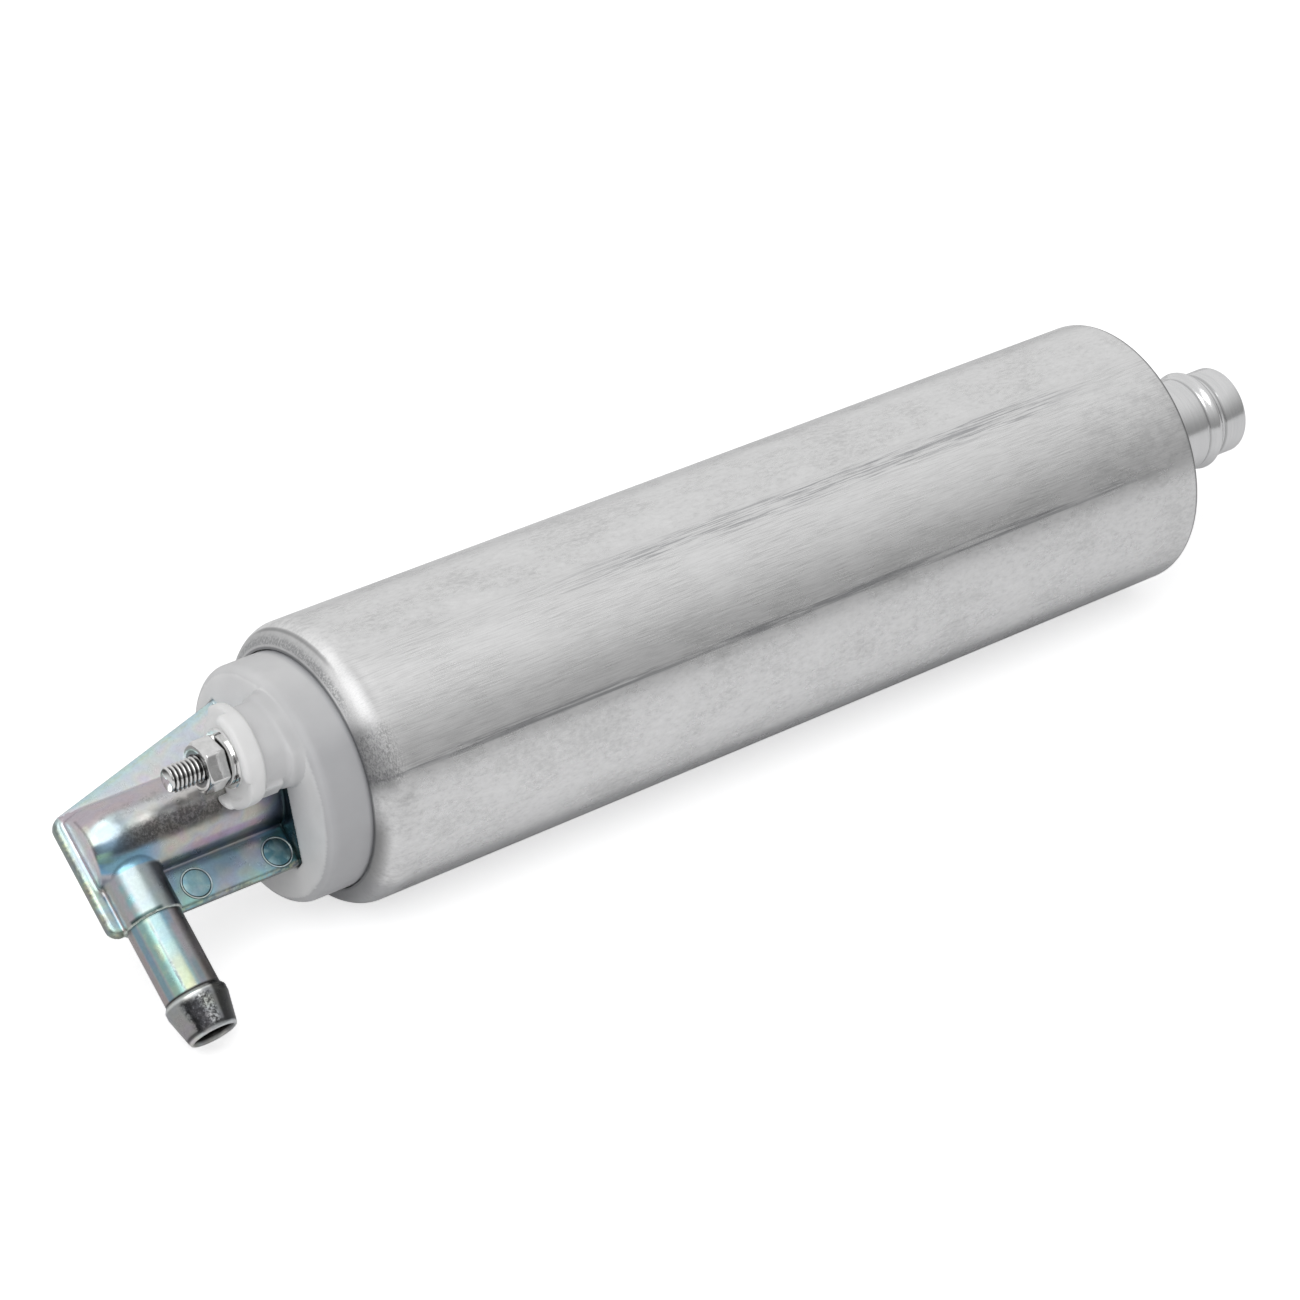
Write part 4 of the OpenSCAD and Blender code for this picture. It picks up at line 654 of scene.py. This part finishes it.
# speckle: most in the painted dark reflection band, some just up the side from the painted crest highlight,
# and a little all over
tube_speckle = 0.60 * dark_reflection_band + 0.30 * on_tube * window(turn, 62, 72, 6) * smooth(ripple, -0.1, 0.6) + 0.08
film_depth = (0.05 + 0.03 * high_plate + 0.09 * low_plate + 0.07 * on_tube * (turn > 120))[:, None]
paint_film_and_light(elbow, points, (0.58, 0.57, 0.58), lay, film_depth, tube_speckle)

zinc, tree, shader, place = new_finish("passivated_zinc", (0.6, 0.6, 0.6), 1.0, 0.22)
# the vertex colour holds the film's colours together with painted highlights and painted shade
film_and_light = put(tree, "Attribute", attribute_name="film_and_painted_light")
grain = noise(tree, place, 2100, 3, 0.75)
mottle = noise(tree, place, 420, 6, 0.7)
dark_speck = product(tree, film_and_light.outputs["Alpha"], step(tree, grain, 0.60, 0.42), 0.85)
shade = tint(tree, film_and_light.outputs["Color"], dark_speck, (0.03, 0.03, 0.032))
light_speck = product(tree, film_and_light.outputs["Alpha"], step(tree, grain, 0.62, 0.74), 0.55)
shade = tint(tree, shade, light_speck, (0.85, 0.86, 0.86))
shade = tint(tree, shade, product(tree, step(tree, mottle, 0.56, 0.80), 0.45), (0.34, 0.33, 0.34))
tree.links.new(shade, shader.inputs["Base Color"])
tree.links.new(ramp(tree, mottle, (0.3, 0.25), (0.7, 0.36)), shader.inputs["Roughness"])
relief(tree, shader, math_node(tree, "MULTIPLY_ADD", grain, 0.3, mottle), 0.000022)
elbow.data.materials.append(zinc)


# Stem and hose barb
# The same casting's hose end, square to the tube. The stem steps down from its socket, and the barb is
# a raised crest with a long cone in front of it, bare where the hose has rubbed the film away.
stem_foot, crest_r, cone_start, cone_fall, full_turn = 11.9, 4.65, 26.25, 0.222, 2 * np.pi
outline = [(stem_foot, stem_r - 0.25), (12.3, stem_r), (12.95, stem_r)]
outline += [(way_out, stem_r) for way_out in np.arange(13.3, 24.2, 0.3)]
outline += [(24.35, stem_r), (24.48, stem_r + 0.05), (24.95, crest_r - 0.10), (25.02, crest_r - 0.03)]
outline += [(way_out, crest_r) for way_out in (25.15, 25.4, 25.65, 25.9)]
outline += [(26.1, crest_r - 0.005), (cone_start, crest_r - 0.05)]
cone = np.arange(cone_start + 0.25, 30.5, 0.25)
outline += [(way_out, crest_r - 0.05 - (way_out - cone_start) * cone_fall) for way_out in cone]
outline += [(30.55, barb_tip_r + 0.08), (30.72, barb_tip_r - 0.02), (barb_tip, barb_tip_r - 0.14)]
outline += [(barb_tip, 3.22), (30.74, 3.12), (30.2, stem_bore + 0.04), (29.8, stem_bore), (20, stem_bore)]
outline += [(stem_foot, stem_bore)]
line_u, line_r = np.array(outline).T[:, :, None]
way_round = np.linspace(0, full_turn, 288, endpoint=False)
rows = np.broadcast_arrays(stem_s + line_r * np.sin(way_round), line_u, line_r * np.cos(way_round))
points = np.stack(rows, -1).reshape(-1, 3)
stem = grid_piece("outlet_stem_and_barb", from_lip(*rows), True, 30)
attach(stem, "pump_body")

s, u, v = points.T
side, radius = np.degrees(np.arctan2(s - stem_s, v)), np.hypot(s - stem_s, v)
inside = (radius < stem_bore + 0.25) * 1.0
ripple = bump_map(points, 2.6, 9)
bare = smooth(u, 24.5, 24.8)
lay = [
    # the film's bands round the stem, from painted shade on its underside to its far side
    (1 - smooth(side, -30, -10), (0.20, 0.18, 0.18)),
    (window(side, -9, -4, 7), (0.50, 0.47, 0.50)),
    (window(side, 5, 26, 11), (0.33, 0.46, 0.475)),
    (window(side, 12, 27, 8) * smooth(u, 16.5, 22) * 0.85, (0.44, 0.47, 0.32)),
    (window(side, 38, 54, 8), (0.36, 0.58, 0.54)),
    (window(side, 35, 54, 8) * smooth(ripple, 0.2, 0.8) * 0.5, (0.62, 0.68, 0.50)),
    (window(side, 32.5, 34.5, 1.5) * window(u, 14, 23.5, 1) * smooth(ripple, -0.7, 0.2) * 0.5,
     (0.22, 0.27, 0.27)),
    (window(side, 65, 74, 8), (0.28, 0.42, 0.50)),
    (window(side, 86, 180, 10), (0.46, 0.41, 0.42)),
    # blue patches near its two ends, and painted shade lines in the corners where it leaves the socket and
    # meets the crest
    (window(side, -8, 4, 6) * window(u, 12.9, 14.0, 1.6) * 0.5, (0.20, 0.42, 0.56)),
    (window(side, -12, -6, 7) * window(u, 21.5, 23.2, 2.0) * 0.5, (0.16, 0.36, 0.44)),
    (1 - smooth(u, 12.75, 12.95), (0.05, 0.07, 0.07)),
    (window(u, 24.25, 24.5, 0.12), (0.06, 0.06, 0.06)),
    # the bare barb: a painted highlight on its edge, painted shade on its underside, and a painted highlight
    # band and a painted dark reflection band along its cone
    (bare, (0.42, 0.42, 0.43)),
    (bare * window(u, 24.8, 25.1, 0.15), (0.85, 0.85, 0.85)),
    (bare * (1 - smooth(side, -16, -8)), (0.10, 0.10, 0.10)),
    (bare * window(side, -2, 12, 5) * smooth(u, 26, 26.6), (0.74, 0.76, 0.75)),
    (bare * window(side, 24, 46, 7) * smooth(u, 25.4, 25.9), (0.07, 0.07, 0.075)),
    # the tip: a ring of painted shade, a painted highlight on its edge and painted shade down the bore
    (window(u, 29.9, 30.2, 0.2) * (1 - inside), (0.10, 0.10, 0.10)),
    (smooth(u, 30.35, 30.5) * (1 - inside), (0.80, 0.81, 0.80)),
    (inside, (0.03, 0.03, 0.03)),
]
speckle = bare * window(side, 0, 50, 10) * (1 - inside) * smooth(u, 25.3, 25.8) * (1 - smooth(u, 30.0, 30.3))
speckle = 0.10 + 0.9 * speckle + 0.35 * window(side, 31, 35, 2) * window(u, 20, 24, 1)
paint_film_and_light(stem, points, (0.52, 0.50, 0.51), lay, 0.06, speckle)
stem.data.materials.append(zinc)


# Ejector marks
# Two round pads on the plate's open side, where the die's pins pushed the casting out. Each stands a hair
# proud inside a fine ridge, painted with a highlight along the ridge and with painted shade on either side
# of it.
mark_r, mark_sides, on_pad, in_shaded_groove, on_ridge = 2.3, 96, 0, 1, 2
past_r, height, zone = np.array([
    (-1.5, 0.04, on_pad), (-0.34, 0.04, on_pad), (-0.26, 0.02, in_shaded_groove), (-0.18, 0.04, in_shaded_groove),
    (-0.08, 0.13, on_ridge), (0.03, 0.12, on_ridge), (0.12, 0.02, in_shaded_groove),
    (0.16, -0.1, in_shaded_groove)]).T[:, :, None]
way_round = np.linspace(0, full_turn, mark_sides, endpoint=False)
across, upright = (mark_r + past_r) * np.cos(way_round), (mark_r + past_r) * np.sin(way_round)
zone = np.concatenate([np.repeat(zone, mark_sides), [on_pad, in_shaded_groove]])
# mark b lies in the painted shade by the cap, so its pad is painted dark
for letter, mark_s, mark_u, shade in (("a", 23.1, 9.75, (0.26, 0.45, 0.54)),
                                      ("b", 9.7, 9.95, (0.10, 0.22, 0.28))):
    rows = from_lip(mark_s - across, mark_u - upright, height)
    mark = grid_piece("ejector_mark_" + letter, rows, False, 25)
    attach(mark, "pump_body")
    points = np.vstack([rows.reshape(-1, 3), rows[0].mean(0), rows[-1].mean(0)])
    lay = [(0.5 * smooth(bump_map(points, 1.6, 12), -0.4, 0.6), (0.50, 0.66, 0.68)),
           (zone == in_shaded_groove, (0.05, 0.07, 0.08)), (zone == on_ridge, (0.70, 0.80, 0.82))]
    paint_film_and_light(mark, points, shade, lay, 0.08, np.full(len(points), 0.1))
    mark.data.materials.append(zinc)


# Terminals
# A rolled M4 stud each side of the plate, bright plated, carries a flat washer, a split spring washer
# and a 7 mm nut. The stud's thread runs from its tip to the boss.
stud_r, pitch, thread_depth, thread_start, stud_tip, tip_edge = 2.0, 0.7, 0.43, 14.2, 25.4, 0.42
nut_back, nut_front, nut_half, nut_room, nut_bore_r, sin_30, cos_30 = 17.3, 20.5, 3.5, 4.4, 1.9, 0.5, 0.866
way_round = np.linspace(0, full_turn, 72, endpoint=False)
s = np.concatenate([np.arange(thread_start, stud_tip - 0.05, 0.05), [stud_tip]])[:, None]
groove = np.abs(((s / pitch - way_round / full_turn) % 1.0) * 2 - 1)
groove = np.clip(1.4 * groove - 0.2, 0, 1)
shank = np.array([(-1.0, 1.2), (1.7, 1.2), (1.7, 3.4), (3.2, 3.4), (3.2, stud_r), (14.0, stud_r)])
stud_s = np.concatenate([shank[:, :1], s])
thread = np.minimum(stud_r - thread_depth * groove, stud_r - tip_edge + stud_tip - s)
stud_line = np.concatenate([shank[:, 1:] + 0 * way_round, thread])
stud_shadow = np.concatenate([np.zeros(shank.shape[0] * len(way_round)), groove.ravel(), (0, 0)])
split_s, split_r = np.array([(16.45, 2.15), (16.4, 2.25), (16.4, 3.65), (16.45, 3.8), (17.15, 3.8),
                             (17.2, 3.65), (17.2, 2.25), (17.15, 2.15)]).T
split_round = np.radians(np.linspace(8, 352, 90))[:, None]
split_lift, split_turn = 0.35 * (split_round / full_turn - 0.5), 2.2
flat_s, flat_r = np.array([(15.55, 2.2), (15.5, 2.35), (15.5, 4.4), (15.6, 4.5), (16.15, 4.5), (16.3, 4.35),
                           (16.3, 2.3), (16.2, 2.2)]).T[:, :, None]


def round_stud(side, s, r, turn):
    """Points s out of the lip and r from a terminal's axis; side is 1 on the plate's open side, else -1."""
    return from_lip(s, -stud_up - r * np.sin(turn), side * stud_side - r * np.cos(turn))


def nut_distance(s, u, v):
    """Either nut: six flats with the front face chamfered at 30 degrees, less a countersunk bore."""
    p, q = u + stud_up, v - np.sign(v) * stud_side
    far, middle = np.hypot(p, q), between(s, nut_back, nut_front)
    flats = [np.abs(p * math.cos(t) + q * math.sin(t)) - nut_half for t in np.arange(3) * math.pi / 3]
    hexagon = rounded(rounded(flats[0], flats[1], 0.22), flats[2], 0.22)
    cone = (far - nut_half + 0.15) * sin_30 + (s - nut_front) * cos_30
    bore = np.minimum(far - nut_bore_r, far - nut_bore_r - 0.2 - middle)
    return carved(rounded(rounded(hexagon, middle, 0.12), cone, 0.12), bore, 0.06)


for side, letter in ((1, "a"), (-1, "b")):
    stud = grid_piece("terminal_stud_" + letter, round_stud(side, stud_s, stud_line, way_round), False, 60)
    store(stud, "shadow", stud_shadow)

    nut_v = side * stud_side
    nut, points = cast_piece("terminal_nut_" + letter, nut_distance,
                             (nut_back - 0.4, -stud_up - nut_room, nut_v - nut_room),
                             (nut_front + 0.4, -stud_up + nut_room, nut_v + nut_room), 0.12, 32)
    s, u, v = points.T
    far = np.hypot(u + stud_up, v - nut_v)
    shadow = np.maximum(0.9 * (1 - smooth(far, 2.7, 3.0)), 0.6 * smooth(nut_back + 0.5 - s, 0, 0.5))
    store(nut, "shadow", np.maximum(shadow, 0.65 * (s > nut_front - 0.08)))

    rows = round_stud(side, split_s + split_lift, split_r, split_round + split_turn)
    split = grid_piece("spring_washer_" + letter, rows, False, 40)
    washer = grid_piece("flat_washer_" + letter, round_stud(side, flat_s, flat_r, way_round), True, 40)

    plated, tree, shader, place = new_finish("bright_plate_" + letter, (0.86, 0.86, 0.855), 1.0, 0.16)
    sheen = ramp(tree, noise(tree, place, 1800, 4), (0.35, 0.07), (0.75, 0.20))
    tree.links.new(sheen, shader.inputs["Roughness"])
    shade = ramp(tree, noise(tree, place, 700, 4), (0.3, (0.82, 0.82, 0.815)), (0.7, (0.98, 0.98, 0.975)))
    dark = step(tree, put(tree, "Attribute", attribute_name="shadow").outputs["Fac"], 0.25, 0.95)
    tree.links.new(tint(tree, shade, dark, (0.05, 0.05, 0.05)), shader.inputs["Base Color"])
    relief(tree, shader, noise(tree, place, 1600, 3), 0.00001)
    for made, packed in ((stud, "terminal_studs"), (nut, "terminal_nuts"), (split, "spring_washers"),
                         (washer, "flat_washers")):
        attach(made, "pump_body")
        if side == 1:
            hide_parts(packed)
        made.data.materials.append(plated)


# Inlet spigot
# Polished tube, 15 mm across, pressed through the inlet cover. A rolled bead near its open end holds
# the hose or the filter sock, and its edge is rounded.
bore_r, root_r, end_r, bead_r, foot_r = 6.2, 7.7, 7.15, 8.15, 9.3
foot_back, foot_front, bead_x, bead_half, tip = 72.3, 73.1, x_back + 18.1, 2.4, x_back + 24.8
past_bead, middle_r = np.linspace(-bead_half, bead_half, 41), (root_r + end_r) / 2
bulge = (bead_r - middle_r) * np.exp(-(past_bead / 0.95) ** 2) + middle_r
bulge -= (root_r - end_r) / 2 * np.tanh(past_bead / 0.7)
bulge -= 0.16 * np.exp(-((np.abs(past_bead) - 1.95) / 0.3) ** 2)
spigot = turned("inlet_spigot_tube", (
    [(foot_back, bore_r), (foot_back, foot_r), (foot_front, foot_r), (foot_front, root_r)]
    + [(x, root_r) for x in np.linspace(foot_front + 0.5, bead_x - bead_half - 0.2, 12)]
    + np.stack([bead_x + past_bead, bulge], -1).tolist()
    + arc(tip - 0.7, end_r - 0.7, 0.7, 90, 0, 8)
    + arc(tip - 0.25, bore_r + 0.25, 0.25, 0, -90, 5)), 224)
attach(spigot, "pump_body")
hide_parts("inlet_spigot")

polished, tree, shader, place = new_finish("polished_tube", (0.88, 0.885, 0.89), 1.0, 0.18)
rings = noise(tree, place, (3200, 200, 200), 3)
along = product(tree, put(tree, "SeparateXYZ", {0: place}).outputs["X"], 1000)
shade = ramp(tree, rings, (0.3, (0.84, 0.845, 0.85)), (0.7, (0.93, 0.93, 0.935)))
# painted shade in the shallow grooves on either side of the bead
for line in (bead_x - 2.05, bead_x + 2.0):
    dark = band(tree, along, line - 0.4, line - 0.1, line + 0.1, line + 0.4)
    shade = tint(tree, shade, product(tree, dark, 0.45), (0.28, 0.28, 0.285))
tree.links.new(shade, shader.inputs["Base Color"])
tree.links.new(ramp(tree, noise(tree, place, 400, 3), (0.3, 0.17), (0.7, 0.22)), shader.inputs["Roughness"])
relief(tree, shader, rings, 0.0000005)
spigot.data.materials.append(polished)


def plain_finish(name, dark, light, metallic, rough_low, rough_high, grain, depth, *users):
    """Finish whose colour and roughness drift with noise of the given grain, put on the named nodes."""
    finish, tree, shader, place = new_finish(name, light, metallic, rough_low)
    drift = noise(tree, place, grain, 4)
    tree.links.new(ramp(tree, drift, (0.3, dark), (0.7, light)), shader.inputs["Base Color"])
    tree.links.new(ramp(tree, drift, (0.3, rough_low), (0.7, rough_high)), shader.inputs["Roughness"])
    relief(tree, shader, noise(tree, place, np.multiply(grain, (3, 3, 3)), 3), depth)
    for user in users:
        nodes[user].data.materials.clear()
        nodes[user].data.materials.append(finish)


plain_finish("turned_aluminium", (0.60, 0.605, 0.61), (0.74, 0.745, 0.75), 1.0, 0.30, 0.45, 500, 0.00002,
             "port_plate", "inlet_plate", "prestage_ring", "inlet_cover")
plain_finish("seal_rubber", (0.018, 0.018, 0.02), (0.035, 0.035, 0.037), 0.0, 0.55, 0.75, 900, 0.00002,
             "elbow_o_ring", "cap_o_ring", "terminal_seals", "poppet_seal", "inlet_o_ring")
plain_finish("spring_steel", (0.42, 0.43, 0.45), (0.60, 0.61, 0.63), 1.0, 0.25, 0.40, 1200, 0.00001,
             "elbow_clip", "check_valve_spring", "brush_spring_a", "brush_spring_b", "relief_spring",
             "magnet_clips", "impeller_clip")
plain_finish("turned_brass", (0.66, 0.48, 0.22), (0.80, 0.62, 0.32), 1.0, 0.22, 0.38, 900, 0.00001,
             "check_valve_seat", "brush_tubes", "relief_seat", "relief_plug")
plain_finish("black_moulding", (0.02, 0.02, 0.022), (0.04, 0.04, 0.043), 0.0, 0.40, 0.60, 800, 0.00003,
             "check_valve_guide", "brush_holder", "commutator_body", "impeller")
plain_finish("ivory_moulding", (0.72, 0.71, 0.66), (0.82, 0.81, 0.76), 0.0, 0.35, 0.50, 700, 0.00002,
             "check_valve_poppet")
plain_finish("brush_carbon", (0.03, 0.03, 0.032), (0.09, 0.085, 0.08), 0.0, 0.45, 0.70, 2500, 0.00003,
             "brush_a", "brush_b")
plain_finish("copper_wire", (0.58, 0.27, 0.13), (0.78, 0.42, 0.24), 1.0, 0.22, 0.40, (400, 2200, 2200),
             0.00002, "brush_lead_a", "brush_lead_b", "choke_windings", "choke_leads",
             "commutator_segments", "windings")
plain_finish("ferrite", (0.06, 0.06, 0.065), (0.12, 0.12, 0.125), 0.2, 0.45, 0.65, 1500, 0.00004,
             "choke_cores", "magnets")
plain_finish("sintered_bronze", (0.46, 0.30, 0.15), (0.64, 0.44, 0.24), 1.0, 0.35, 0.55, 1800, 0.00003,
             "front_bearing", "rear_bearing", "thrust_washers")
plain_finish("ground_steel", (0.50, 0.505, 0.51), (0.66, 0.665, 0.67), 1.0, 0.18, 0.32, (1800, 300, 300),
             0.00001, "flux_ring", "shaft", "drive_key", "dowel_pins", "relief_ball", "pump_screws",
             "inlet_strainer")
plain_finish("core_laminations", (0.24, 0.24, 0.26), (0.42, 0.42, 0.44), 1.0, 0.35, 0.50, (2000, 60, 60),
             0.00005, "lamination_stack")
plain_finish("red_slot_paper", (0.38, 0.06, 0.03), (0.55, 0.12, 0.07), 0.0, 0.50, 0.65, 900, 0.00002,
             "end_insulators")
plain_finish("sintered_iron", (0.30, 0.30, 0.31), (0.44, 0.44, 0.45), 1.0, 0.32, 0.48, 1600, 0.00003,
             "inner_rotor", "outer_rotor", "pump_ring")
